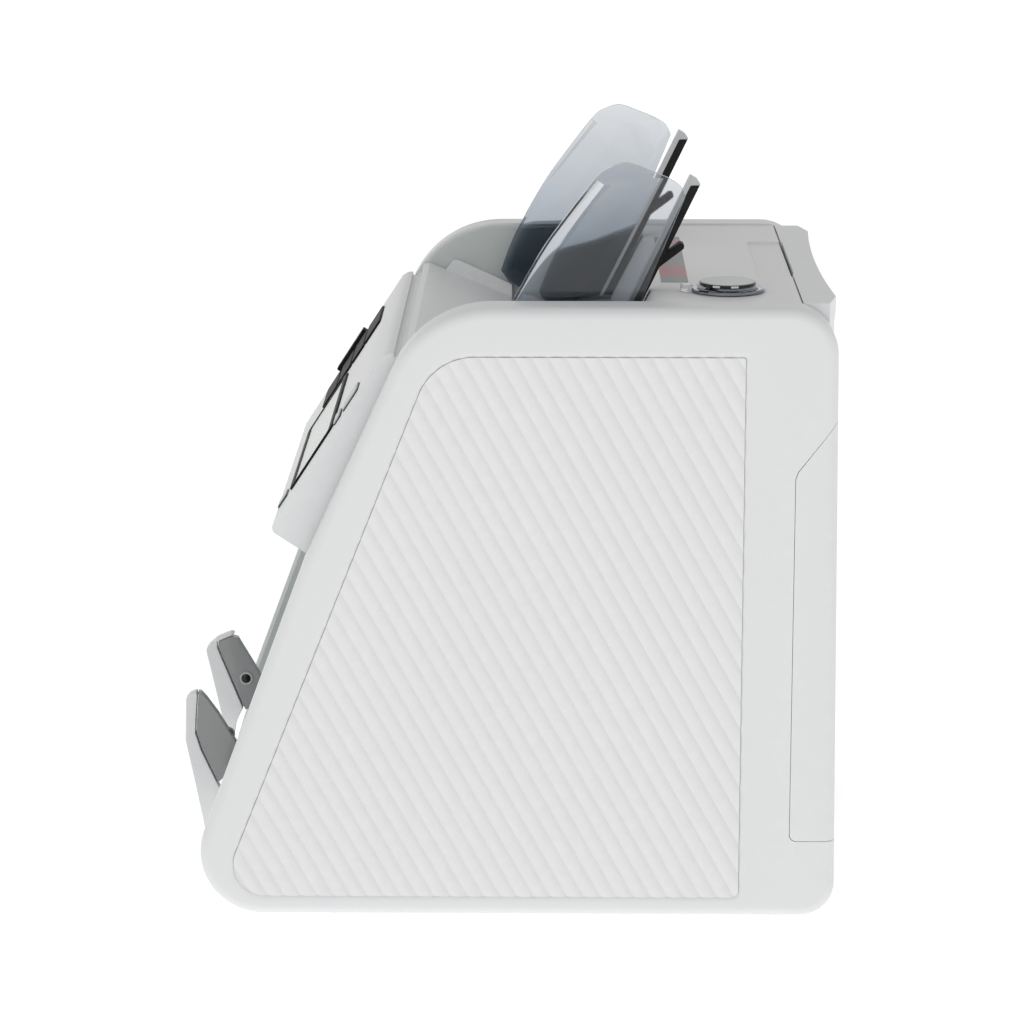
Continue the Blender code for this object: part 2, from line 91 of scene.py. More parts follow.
# Corner circles (y, z, radius) of the side cover and of its ribbed inlay, counterclockwise from the front.
COVER_CORNERS = [(-103, 31, 27), (126, 19, 15), (118.5, 248, 20), (-4.6, 222, 46), (-28.7, 136.2, 60)]
INLAY_CORNERS = [(-101.6, 27, 14), (97, 16, 3), (99, 246.4, 1), (-12, 222.4, 25)]
INLAY_FACE = reach("right_rib_inlay")[1].x
RIB_PITCH = 6.225
RIB_LEAN = math.radians(61)  # how steeply the ribs fall towards the rear

HEAD_CORNER = (-99.7, 169.0)
HEAD_SLOPE = math.radians(56.95)
FACE_LENGTH = 90.8

DECK_TOP = reach("top_deck")[1].z
DECK_FRONT = 60.7
DECK_REAR = reach("top_deck")[1].y
REST_LEAN = 0.486  # how far back the note rests lean for each unit of height
REST_X = (71.0, 79.0)
GUIDE_X = (99.5, 102.1)

SHAFT_R = 4.0
FEED_AT, DRIVE_AT, PINCH_AT = (16.0, 213.0), (52.0, 178.0), (78.4, 180.0)
RETARD_AT, STACK_AT, MOTOR_AT = (38.9, 221.0), (-46.0, 78.0), (42.0, 84.0)
POCKET_PLATE = [(-92, 30), (-44.7, 160)]
# The stacker arms: label, x range, outline down to the floor's lip, and the window's outline.
ARMS = [
    (
        "right",
        (47, 53),
        [(-134.4, 17.8), (-139.1, 42.8), (-142.6, 60.3), (-142, 79.6), (-140.3, 81.5), (-137.3, 82.8)]
        + [(-137, 81), (-137.8, 70.7), (-138.2, 63.6), (-135.8, 55.7), (-127.9, 38.3), (-129.3, 30.5)],
        [(-136.6, 82.7), (-135.3, 82.3), (-133, 79.7), (-127.9, 72.5), (-119.1, 57.5), (-117.4, 46.5)]
        + [(-125.8, 43.1), (-128.5, 40.5), (-135.3, 55.8), (-137.7, 63.6), (-137.3, 70.7), (-136.5, 81)],
    ),
    (
        "left",
        (-53, -47),
        [(-134.1, 25.6), (-135.1, 38.5), (-138.8, 56.3), (-142.3, 72), (-142.6, 74.4), (-141.9, 76.1)]
        + [(-137.1, 80.2), (-130.8, 82.8), (-129.2, 82.2), (-130.7, 81.4), (-137.4, 78.5), (-137.5, 75.4)]
        + [(-135.6, 70.7), (-125.8, 45.8), (-127.4, 42.8), (-129.2, 38.4), (-130.6, 30.6)],
        [(-136.9, 78.1), (-130.6, 80.9), (-127.8, 80.2), (-117.6, 62.5), (-116, 59.4), (-118.2, 46.1)]
        + [(-124.8, 45.2), (-135.1, 70.7), (-136.9, 75.4)],
    ),
]
ARM_FOOT = [(-125.8, 19.5), (-124.4, 16.6), (-131, 15)]
KNOB_AT = (76.6, 94.2)
DOOR_BOTTOM = reach("rear_door")[0].z

# Keys on the head's face: name, x range, range along the face from its lower edge, height above it.
KEYS = [
    ("key_left_1", (-90, -48), (25, 37), 1.0),
    ("key_left_2", (-90, -48), (38.2, 49), 1.0),
    ("key_left_3", (-90, -48), (50.2, 60.2), 1.0),
    ("key_left_4", (-90, -48), (61.4, 74), 1.0),
    ("key_start", (-101, -93), (35, 58.5), 2.4),
    ("key_right_upper", (70, 88), (57, 68), 1.0),
    ("key_right_lower", (70, 88), (49.8, 54.4), 1.0),
    ("key_power", (66, 80), (4, 11), 0.8),
]
WINDOW_X, WINDOW_S = (-38, 84), (14.5, 48)


# ---------------------------------------------------------------- shader building

def new_group(name, inputs, outputs):
    """A shader node group with its wiring, given values and outputs: inputs (name, kind, default)."""
    group = bpy.data.node_groups.new(name, "ShaderNodeTree")
    for label, kind, default in inputs:
        socket = group.interface.new_socket(name=label, in_out="INPUT", socket_type=f"NodeSocket{kind}")
        socket.default_value = default
    for label, kind in outputs:
        group.interface.new_socket(name=label, in_out="OUTPUT", socket_type=f"NodeSocket{kind}")
    w = Wiring(group)
    return group, w, w.add("NodeGroupInput").outputs, w.add("NodeGroupOutput").inputs


class Wiring:
    """Short ways to add nodes to a tree and join their sockets."""

    def __init__(self, tree):
        self.tree = tree

    def add(self, kind, **settings):
        node = self.tree.nodes.new(kind)
        for name, value in settings.items():
            setattr(node, name, value)
        return node

    def join(self, source, target):
        self.tree.links.new(source, target)

    def feed(self, socket, value):
        if isinstance(value, bpy.types.NodeSocket):
            self.join(value, socket)
        else:
            socket.default_value = value

    def math(self, operation, first, second=0.0, third=None):
        node = self.add("ShaderNodeMath", operation=operation)
        self.feed(node.inputs[0], first)
        self.feed(node.inputs[1], second)
        if third is not None:
            self.feed(node.inputs[2], third)
        return node.outputs[0]

    def span(self, value, low, high, start=0.0, end=1.0):
        """Value taken from low..high to start..end, held at the ends."""
        node = self.add("ShaderNodeMapRange")
        for i, amount in enumerate((value, low, high, start, end)):
            self.feed(node.inputs[i], amount)
        return node.outputs[0]

    def noise(self, vector, scale, detail=2.0, rough=0.5):
        node = self.add("ShaderNodeTexNoise")
        self.feed(node.inputs["Vector"], vector)
        self.feed(node.inputs["Scale"], scale)
        node.inputs["Detail"].default_value = detail
        node.inputs["Roughness"].default_value = rough
        return node.outputs["Fac"]

    def blend(self, factor, first, second, blend_type="MIX"):
        node = self.add("ShaderNodeMix", data_type="RGBA", blend_type=blend_type)
        self.feed(node.inputs["Factor"], factor)
        self.feed(node.inputs["A"], first)
        self.feed(node.inputs["B"], second)
        return node.outputs["Result"]

    def place(self):
        return self.add("ShaderNodeTexCoord").outputs["Object"]

    def parts(self, vector):
        """The X, Y and Z of a vector."""
        node = self.add("ShaderNodeSeparateXYZ")
        self.join(vector, node.inputs[0])
        return node.outputs


def moulded_group():
    """Fine spark-eroded grain, slow shade variation and a little unevenness of gloss."""
    group, w, given, out = new_group(
        "moulded_grain",
        [("Colour", "Color", (0.8, 0.8, 0.8, 1)), ("Shade", "Float", 0.012), ("Grain", "Float", 1500.0),
         ("Gloss", "Float", 0.4), ("Unevenness", "Float", 0.03)],
        [("Colour", "Color"), ("Roughness", "Float"), ("Height", "Float")],
    )
    place = w.place()
    slow = w.noise(place, 9.0, 3.0)
    cell = w.noise(place, given["Grain"], 3.0, 0.65)
    level = w.span(slow, 0.3, 0.7, 0.0, 1.0)
    darker = w.blend(1.0, given["Colour"], (0.9, 0.905, 0.91, 1), "MULTIPLY")
    share = w.math("MULTIPLY", level, w.math("MULTIPLY", given["Shade"], 10.0))
    w.join(w.blend(share, given["Colour"], darker), out["Colour"])
    spread = w.math("MULTIPLY", w.math("SUBTRACT", w.noise(place, 45.0, 4.0), 0.5), given["Unevenness"])
    w.join(w.math("ADD", given["Gloss"], spread), out["Roughness"])
    w.join(cell, out["Height"])
    return group


def wear_group():
    """Edges rubbed lighter or darker: a mask from the surface's convexity, broken up by noise."""
    group, w, given, out = new_group(
        "edge_wear",
        [("Colour", "Color", (0.8, 0.8, 0.8, 1)), ("Worn", "Color", (0.9, 0.9, 0.9, 1)),
         ("Amount", "Float", 0.5)],
        [("Colour", "Color"), ("Mask", "Float")],
    )
    edge = w.span(w.add("ShaderNodeNewGeometry").outputs["Pointiness"], 0.51, 0.58)
    patch = w.span(w.noise(w.place(), 160.0, 5.0, 0.7), 0.42, 0.62)
    mask = w.math("MULTIPLY", w.math("MULTIPLY", edge, patch), given["Amount"])
    w.join(w.blend(mask, given["Colour"], given["Worn"]), out["Colour"])
    w.join(mask, out["Mask"])
    return group


def dust_group():
    """A light film of dust on what faces up, thicker in soft patches."""
    group, w, given, out = new_group(
        "settled_dust",
        [("Colour", "Color", (0.8, 0.8, 0.8, 1)), ("Amount", "Float", 0.1)],
        [("Colour", "Color"), ("Mask", "Float")],
    )
    up = w.span(w.parts(w.add("ShaderNodeNewGeometry").outputs["Normal"])["Z"], 0.4, 1.0)
    patch = w.span(w.noise(w.place(), 30.0, 6.0, 0.75), 0.35, 0.75)
    mask = w.math("MULTIPLY", w.math("MULTIPLY", up, patch), given["Amount"])
    w.join(w.blend(mask, given["Colour"], (0.56, 0.55, 0.53, 1)), out["Colour"])
    w.join(mask, out["Mask"])
    return group


def brushed_group():
    """Fine lines along one axis, as rolling, grinding or turning leaves them."""
    group, w, given, out = new_group(
        "brushed_lines",
        [("Stretch", "Vector", (20.0, 900.0, 900.0)), ("Gloss", "Float", 0.3), ("Depth", "Float", 0.15)],
        [("Roughness", "Float"), ("Height", "Float"), ("Shade", "Float")],
    )
    stretched = w.add("ShaderNodeVectorMath", operation="MULTIPLY")
    w.join(w.place(), stretched.inputs[0])
    w.join(given["Stretch"], stretched.inputs[1])
    lines = w.noise(stretched.outputs[0], 1.0, 4.0, 0.6)
    patches = w.noise(w.place(), 60.0, 3.0)
    gloss = w.math("MULTIPLY_ADD", w.math("SUBTRACT", lines, 0.5), given["Depth"], given["Gloss"])
    w.join(gloss, out["Roughness"])
    w.join(lines, out["Height"])
    w.join(w.span(patches, 0.3, 0.7), out["Shade"])
    return group


MOULDED, WEAR, DUST, BRUSHED = moulded_group(), wear_group(), dust_group(), brushed_group()


def new_material(name):
    made = bpy.data.materials.new(name)
    made.use_nodes = True
    wiring = Wiring(made.node_tree)
    return made, wiring, made.node_tree.nodes["Principled BSDF"].inputs


def placed_group(wiring, group, **values):
    node = wiring.add("ShaderNodeGroup", node_tree=group)
    for name, value in values.items():
        wiring.feed(node.inputs[name], value)
    return node.outputs


def bumped(wiring, height, strength, distance):
    node = wiring.add("ShaderNodeBump")
    node.inputs["Strength"].default_value = strength
    node.inputs["Distance"].default_value = distance
    wiring.join(height, node.inputs["Height"])
    return node.outputs["Normal"]


def moulded(name, colour, gloss, grain=1500.0, bump=0.08, shade=0.012, worn=None, wear=0.2, dust=0.03,
            **more):
    """Injection-moulded plastic: grain, slow shade variation, rubbed edges and a little dust."""
    made, w, shader = new_material(name)
    base = placed_group(w, MOULDED, Colour=(*colour, 1), Shade=shade, Grain=grain, Gloss=gloss)
    lighter = worn or tuple(min(1.0, c * 1.12 + 0.03) for c in colour)
    rubbed = placed_group(w, WEAR, Colour=base["Colour"], Worn=(*lighter, 1), Amount=wear)
    dusty = placed_group(w, DUST, Colour=rubbed["Colour"], Amount=dust)
    w.join(dusty["Colour"], shader["Base Color"])
    w.join(w.math("ADD", base["Roughness"], w.math("MULTIPLY", dusty["Mask"], 0.6)), shader["Roughness"])
    w.join(bumped(w, base["Height"], bump, 0.0002), shader["Normal"])
    for socket, value in more.items():
        shader[socket.replace("_", " ")].default_value = value
    return made


def metal(name, colour, gloss, stretch, depth=0.15, bump=0.08, patina=(0.8, 0.8, 0.8), wear=0.4):
    """Sheet or turned metal with fine lines, darker patches and bright rubbed edges."""
    made, w, shader = new_material(name)
    lines = placed_group(w, BRUSHED, Stretch=stretch, Gloss=gloss, Depth=depth)
    dull = tuple(a * b for a, b in zip(colour, patina))
    base = w.blend(lines["Shade"], (*colour, 1), (*dull, 1))
    bright = tuple(min(1.0, c * 1.25) for c in colour)
    rubbed = placed_group(w, WEAR, Colour=base, Worn=(*bright, 1), Amount=wear)
    w.join(rubbed["Colour"], shader["Base Color"])
    w.join(lines["Roughness"], shader["Roughness"])
    w.join(bumped(w, lines["Height"], bump, 0.0001), shader["Normal"])
    shader["Metallic"].default_value = 1.0
    return made


def smoked(name, tint, deep, gloss=0.03):
    """Polished clear plastic with fine hairlines and finger haze; painted shade darkens its tint towards its
    foot.
    """
    made, w, shader = new_material(name)
    # Painted shade: deep is the colour of the shade at the foot, blended up into the plain tint between the
    # two heights.
    height = w.span(w.parts(w.place())["Z"], *PAINTED_SHADE_HEIGHTS)
    w.join(w.blend(height, (*deep, 1), (*tint, 1)), shader["Base Color"])
    shader["Transmission Weight"].default_value = 1.0
    shader["IOR"].default_value = 1.49
    haze = w.span(w.noise(w.place(), 35.0, 4.0, 0.6), 0.5, 0.8, gloss, gloss + 0.06)
    w.join(haze, shader["Roughness"])
    lines = placed_group(w, BRUSHED, Stretch=(500.0, 90.0, 900.0), Gloss=0.0, Depth=0.0)
    w.join(bumped(w, lines["Height"], 0.02, 0.0001), shader["Normal"])
    return made


def board_green():
    """Solder mask over copper traces: a dark green lacquer with faint lighter tracks."""
    made, w, shader = new_material("board_green")
    place = w.place()
    tracks = w.add("ShaderNodeTexBrick")
    turned_place = w.add("ShaderNodeMapping")
    turned_place.inputs["Rotation"].default_value = (math.radians(90), 0, 0)
    w.join(place, turned_place.inputs["Vector"])
    w.join(turned_place.outputs[0], tracks.inputs["Vector"])
    tracks.inputs["Scale"].default_value = 90.0
    tracks.inputs["Mortar Size"].default_value = 0.03
    tracks.inputs["Color1"].default_value = (0.012, 0.10, 0.035, 1)
    tracks.inputs["Color2"].default_value = (0.010, 0.085, 0.03, 1)
    tracks.inputs["Mortar"].default_value = (0.03, 0.19, 0.07, 1)
    base = placed_group(w, MOULDED, Colour=tracks.outputs["Color"], Shade=0.05, Grain=700.0, Gloss=0.28)
    w.join(base["Colour"], shader["Base Color"])
    w.join(base["Roughness"], shader["Roughness"])
    w.join(bumped(w, tracks.outputs["Fac"], 0.15, 0.0002), shader["Normal"])
    return made


def printed_label():
    """The deck's printed label: grey paper with two muted red bands across its length, no lettering."""
    made, w, shader = new_material("printed_label")
    x = w.parts(w.place())["X"]
    masks = [w.math("MULTIPLY", w.math("GREATER_THAN", x, low), w.math("LESS_THAN", x, high))
             for low, high in LABEL_BANDS]
    colour = w.blend(w.math("ADD", *masks), (0.27, 0.275, 0.28, 1), (0.42, 0.21, 0.22, 1))
    base = placed_group(w, MOULDED, Colour=colour, Shade=0.04, Grain=2500.0, Gloss=0.42)
    w.join(base["Colour"], shader["Base Color"])
    w.join(base["Roughness"], shader["Roughness"])
    w.join(bumped(w, base["Height"], 0.08, 0.0001), shader["Normal"])
    return made


def liquid_crystal():
    """An unlit display: pale grey-green with a fine cell grid under a clear cover."""
    made, w, shader = new_material("display_glass")
    checks = w.add("ShaderNodeTexVoronoi", feature="DISTANCE_TO_EDGE")
    w.join(w.place(), checks.inputs["Vector"])
    checks.inputs["Scale"].default_value = 1600.0
    cells = w.span(checks.outputs["Distance"], 0.0, 0.2)
    colour = w.blend(cells, (0.32, 0.36, 0.33, 1), (0.40, 0.44, 0.40, 1))
    base = placed_group(w, MOULDED, Colour=colour, Shade=0.05, Grain=900.0, Gloss=0.16)
    w.join(base["Colour"], shader["Base Color"])
    w.join(base["Roughness"], shader["Roughness"])
    shader["Specular IOR Level"].default_value = 0.15
    return made


WHITE = (0.775, 0.780, 0.785)
LOOKS = {
    "shell": moulded("white_shell", WHITE, 0.42, grain=1300.0),
    "ribbed": moulded("white_ribbed", (0.785, 0.785, 0.785), 0.46, grain=1100.0),
    "deck": moulded("white_deck", (0.76, 0.76, 0.755), 0.4),
    "liner": moulded("grey_green_liner", (0.56, 0.60, 0.59), 0.36, grain=1800.0),
    "grey": moulded("grey_moulding", (0.46, 0.47, 0.47), 0.38),
    "rest_grey": moulded("rest_grey", (0.56, 0.57, 0.58), 0.4, grain=2200.0, bump=0.3),
    "pane": moulded("smoked_pane", (0.27, 0.28, 0.282), 0.09, bump=0.02, wear=0.15, dust=0.02,
                    Coat_Weight=0.5),
    "gloss": moulded("gloss_black", (0.012, 0.012, 0.014), 0.14, bump=0.03, worn=(0.08, 0.08, 0.085)),
    "black": moulded("satin_black", (0.010, 0.010, 0.011), 0.5, worn=(0.05, 0.05, 0.05), dust=0.0,
                     Specular_IOR_Level=0.2),
    "key_black": moulded("key_black", (0.010, 0.010, 0.011), 0.45, worn=(0.05, 0.05, 0.05), dust=0.0,
                         Specular_IOR_Level=0.04),
    "key_grey": moulded("key_grey", (0.44, 0.45, 0.45), 0.3, bump=0.06),
    "key_green": moulded("key_green", (0.02, 0.09, 0.065), 0.2, bump=0.04),
    "rubber": moulded("roller_rubber", (0.035, 0.034, 0.034), 0.72, grain=900.0, bump=0.35,
                      worn=(0.10, 0.10, 0.10), dust=0.12),
    "tyre": moulded("feed_tyre", (0.26, 0.12, 0.035), 0.6, grain=900.0, bump=0.3, worn=(0.30, 0.17, 0.08)),
    "insulator": moulded("cream_insulator", (0.62, 0.58, 0.45), 0.35),
    "cap_sleeve": moulded("capacitor_sleeve", (0.02, 0.03, 0.07), 0.3, bump=0.03),
    "silver_top": moulded("knob_top", (0.53, 0.56, 0.54), 0.3, bump=0.05, grain=3000.0),
    "steel": metal("zinc_sheet", (0.62, 0.63, 0.64), 0.34, (60.0, 900.0, 40.0)),
    "ground": metal("ground_steel", (0.66, 0.66, 0.67), 0.2, (900.0, 40.0, 40.0), depth=0.1),
    "can": metal("motor_can", (0.30, 0.30, 0.31), 0.36, (900.0, 30.0, 30.0), patina=(0.9, 0.9, 0.9)),
    "chrome": metal("dark_chrome", (0.30, 0.32, 0.36), 0.08, (20.0, 20.0, 900.0), depth=0.04, bump=0.02),
    "brass": metal("gilt_contact", (0.75, 0.58, 0.26), 0.25, (40.0, 40.0, 900.0)),
    "board": board_green(),
    "label": printed_label(),
    "display": liquid_crystal(),
    # The second colour of each smoked look is painted shade towards the foot of its pieces.
    "smoke": smoked("smoke_clear", (0.68, 0.70, 0.72), (0.27, 0.32, 0.38)),
    "clear": smoked("water_clear", (0.93, 0.94, 0.95), (0.8, 0.82, 0.84)),
}


# ---------------------------------------------------------------- mesh building

def made_from(bm, name):
    """An object from a closed bmesh in millimetres."""
    bmesh.ops.recalc_face_normals(bm, faces=bm.faces)
    bmesh.ops.scale(bm, verts=bm.verts, vec=(MM, MM, MM))
    mesh = bpy.data.meshes.new(name)
    bm.to_mesh(mesh)
    bm.free()
    made = bpy.data.objects.new(name, mesh)
    bpy.context.scene.collection.objects.link(made)
    return made


def settle(piece):
    """The piece's modifiers turned into its own mesh."""
    shape = piece.evaluated_get(bpy.context.evaluated_depsgraph_get())
    mesh = bpy.data.meshes.new_from_object(shape)
    piece.modifiers.clear()
    piece.data = mesh
    return piece


def carve(piece, *cutters, operation="DIFFERENCE"):
    for cutter in cutters:
        modifier = piece.modifiers.new("carve", "BOOLEAN")
        modifier.operation = operation
        modifier.object = cutter
        modifier.solver = "EXACT"
    settle(piece)
    for cutter in cutters:
        bpy.data.objects.remove(cutter, do_unlink=True)
    return piece


def join(piece, *others):
    return carve(piece, *others, operation="UNION")


def soften(piece, width=0.4, segments=2, angle=32):
    """Edges sharper than the angle rounded over."""
    piece.data.shade_smooth()
    modifier = piece.modifiers.new("soften", "BEVEL")
    modifier.width = width * MM
    modifier.segments = segments
    modifier.limit_method = "ANGLE"
    modifier.angle_limit = math.radians(angle)
    modifier.miter_outer = "MITER_ARC"
    modifier.harden_normals = True
    return settle(piece)


def place(piece, body, slot, look, *nodes, smooth=32):
    """Gives a finished piece its look, its body and the CAD nodes that it stands for; the slot is not used.
    """
    if not piece.data.has_custom_normals:
        piece.data.shade_smooth()
        piece.data.set_sharp_from_angle(angle=math.radians(smooth))
    piece.data.materials.clear()
    piece.data.materials.append(LOOKS[look])
    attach(piece, body)
    if nodes:
        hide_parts(*nodes)
    return piece


def band(corners, inset=0.0, step=4):
    """The outline of a belt round the corner circles, shrunk by inset, arcs cut about every step degrees."""
    count = len(corners)
    normals = []
    for i in range(count):
        (y0, z0, r0), (y1, z1, r1) = corners[i], corners[(i + 1) % count]
        along = math.atan2(z1 - z0, y1 - y0)
        normals.append(along - math.acos((r0 - r1) / math.hypot(y1 - y0, z1 - z0)))
    points = []
    for i, (y, z, radius) in enumerate(corners):
        start, end = normals[i - 1], normals[i]
        sweep = (end - start) % math.tau
        parts = max(4, round(math.degrees(sweep) / step))
        for k in range(parts + 1):
            angle = start + sweep * k / parts
            points.append((y + (radius - inset) * math.cos(angle), z + (radius - inset) * math.sin(angle)))
    return points


def arc(centre, radius, start, end, parts):
    angles = [math.radians(start + (end - start) * k / parts) for k in range(parts + 1)]
    return [(centre[0] + radius * math.cos(a), centre[1] + radius * math.sin(a)) for a in angles]


def smooth_run(points, parts=6):
    """A curve through the points, sampled from a Catmull-Rom spline."""
    ends = [points[0], *points, points[-1]]
    run = []
    for i in range(1, len(ends) - 2):
        p0, p1, p2, p3 = (Vector(p) for p in ends[i - 1:i + 3])
        for k in range(parts):
            t = k / parts
            run.append(0.5 * (2 * p1 + (p2 - p0) * t + (2 * p0 - 5 * p1 + 4 * p2 - p3) * t * t
                              + (3 * p1 - p0 - 3 * p2 + p3) * t ** 3))
    run.append(Vector(points[-1]))
    return [tuple(p) for p in run]


def skinned(name, rings):
    """A solid through rings of as many points each, its first and last ring closed."""
    bm = bmesh.new()
    rows = [[bm.verts.new(point) for point in ring] for ring in rings]
    for low, high in zip(rows, rows[1:]):
        for i in range(len(low)):
            bm.faces.new((low[i - 1], low[i], high[i], high[i - 1]))
    bm.faces.new(rows[0])
    bm.faces.new(rows[-1])
    return made_from(bm, name)


def loft(name, sections):
    """A solid through outlines in planes of constant x: sections are (x, points)."""
    return skinned(name, [[(x, y, z) for y, z in points] for x, points in sections])


def prism(name, points, x_range):
    return loft(name, [(x, points) for x in x_range])


def block(name, x_range, y_range, z_range):
    (y0, y1), (z0, z1) = y_range, z_range
    return prism(name, [(y0, z0), (y1, z0), (y1, z1), (y0, z1)], x_range)


def box_between(name, low, high):
    """A block from its lowest to its highest corner."""
    return block(name, *zip(low, high))


def plate_of(name, outline, low, high):
    """An XY outline raised from z low to high."""
    return skinned(name, [[(x, y, z) for x, y in outline] for z in (low, high)])


def turned(name, at, profile, sides=64, axis="X"):
    """A profile of (along, radius) turned about an axis through a point."""
    bm = bmesh.new()
    origin, ahead, across = Vector(at), Vector((1, 0, 0)), Vector((0, 0, 1))
    if axis == "Y":
        ahead = Vector((0, 1, 0))
    if axis == "Z":
        ahead, across = Vector((0, 0, 1)), Vector((1, 0, 0))
    verts = [bm.verts.new(origin + ahead * along + across * radius) for along, radius in profile]
    edges = [bm.edges.new(pair) for pair in zip(verts, verts[1:])]
    if profile[0][1] > 0:
        edges.append(bm.edges.new((verts[-1], verts[0])))
    bmesh.ops.spin(bm, geom=verts + edges, cent=origin, axis=ahead, angle=math.tau, steps=sides)
    bmesh.ops.remove_doubles(bm, verts=bm.verts, dist=0.001)
    return made_from(bm, name)


def rod(name, at, x_range, radius, sides=48):
    profile = [(x_range[0], 0), (x_range[0], radius), (x_range[1], radius), (x_range[1], 0)]
    return turned(name, (0, *at), profile, sides)


def mirrored(x_range, side):
    return tuple(sorted(side * x for x in x_range))


def face_point(along, out):
    """(y, z) of a point on the head's face: along it from the lower edge, and out from it."""
    y = HEAD_CORNER[0] + along * math.cos(HEAD_SLOPE) - out * math.sin(HEAD_SLOPE)
    z = HEAD_CORNER[1] + along * math.sin(HEAD_SLOPE) + out * math.cos(HEAD_SLOPE)
    return (y, z)


def face_solid(name, outline, low, high):
    """An outline of (x, along) on the head's face, raised from low to high above it."""
    return skinned(name, [[(x, *face_point(along, out)) for x, along in outline] for out in (low, high)])


def rounded(u_range, v_range, radius, parts=5):
    """A rectangle with round corners."""
    (u0, u1), (v0, v1) = u_range, v_range
    corners = [(u1 - radius, v1 - radius, 0), (u0 + radius, v1 - radius, 90),
               (u0 + radius, v0 + radius, 180), (u1 - radius, v0 + radius, 270)]
    return [point for u, v, turn in corners for point in arc((u, v), radius, turn, turn + 90, parts)]


def rear_face(z):
    """y of the covers' rear edge, which leans in slightly towards the top."""
    return 141.2 - 0.01174 * (z - 19)


def rest_line(z, forward=0.0):
    """y of the hopper's rear wall at a height, or of a plane in front of it."""
    return DECK_FRONT + REST_LEAN * (z - DECK_TOP) - forward


def wing_outline(grow=0.0):
    """The side outline of the rear door's wings; grow widens it for the covers' cut-outs."""
    low, front = DOOR_BOTTOM - grow, 121.4 - grow
    foot = arc((front + 3, low + 3), 3, 180, 270, 6)
    points = [(rear_face(low) + 2, low), (rear_face(low) + 2, 224.5 + grow), (rear_face(221), 220.5 + grow)]
    return points + [(front + 1, 199 + grow), (front, 196 + grow)] + foot


# ---------------------------------------------------------------- geometry node trees

class Tree:
    """A Geometry Nodes tree with named inputs, and short ways to fill it."""

    def __init__(self, name, inputs):
        self.tree = bpy.data.node_groups.new(name, "GeometryNodeTree")
        self.ids = {}
        self.tree.interface.new_socket(name="Geometry", in_out="INPUT", socket_type="NodeSocketGeometry")
        for label, kind, default in inputs:
            kind = f"NodeSocket{kind}"
            socket = self.tree.interface.new_socket(name=label, in_out="INPUT", socket_type=kind)
            if default is not None:
                socket.default_value = default
            self.ids[label] = socket.identifier
        self.tree.interface.new_socket(name="Geometry", in_out="OUTPUT", socket_type="NodeSocketGeometry")
        self.given = self.add("NodeGroupInput").outputs

    def add(self, kind, settings=None, **values):
        """A node with its settings, and its inputs fed by name or by position as in i0, i1."""
        node = self.tree.nodes.new(kind)
        for name, value in (settings or {}).items():
            setattr(node, name, value)
        for name, value in values.items():
            socket = node.inputs[int(name[1:])] if name[1:].isdigit() else node.inputs[name.replace("_", " ")]
            if isinstance(value, bpy.types.Node):
                value = value.outputs[0]
            if isinstance(value, bpy.types.NodeSocket):
                self.tree.links.new(value, socket)
            else:
                socket.default_value = value
        return node

    def link(self, source, socket):
        self.tree.links.new(source.outputs[0], socket)

    def xyz(self, **parts):
        return self.add("ShaderNodeCombineXYZ", **parts).outputs[0]

    def math(self, operation, first, second=0.0):
        return self.add("ShaderNodeMath", {"operation": operation}, i0=first, i1=second).outputs[0]

    def finish(self, geometry):
        """Ends the tree with realised geometry and its material."""
        solid = self.add("GeometryNodeRealizeInstances", Geometry=geometry).outputs[0]
        last = self.add("GeometryNodeSetMaterial", Geometry=solid, Material=self.given["Material"]).outputs[0]
        self.add("NodeGroupOutput", i0=last)
        return self

    def run(self, name, look, points=(), cutter=None, **values):
        """A plain mesh made by the tree on the given points, with the named inputs set."""
        mesh = bpy.data.meshes.new(name)
        mesh.from_pydata([Vector(p) * MM for p in points], [], [])
        piece = bpy.data.objects.new(name, mesh)
        bpy.context.scene.collection.objects.link(piece)
        modifier = piece.modifiers.new("made", "NODES")
        modifier.node_group = self.tree
        modifier[self.ids["Material"]] = LOOKS[look]
        if cutter:
            modifier[self.ids["Outline"]] = cutter
        for label, value in values.items():
            modifier[self.ids[label.replace("_", " ")]] = value
        settle(piece)
        if cutter:
            bpy.data.objects.remove(cutter, do_unlink=True)
        return piece


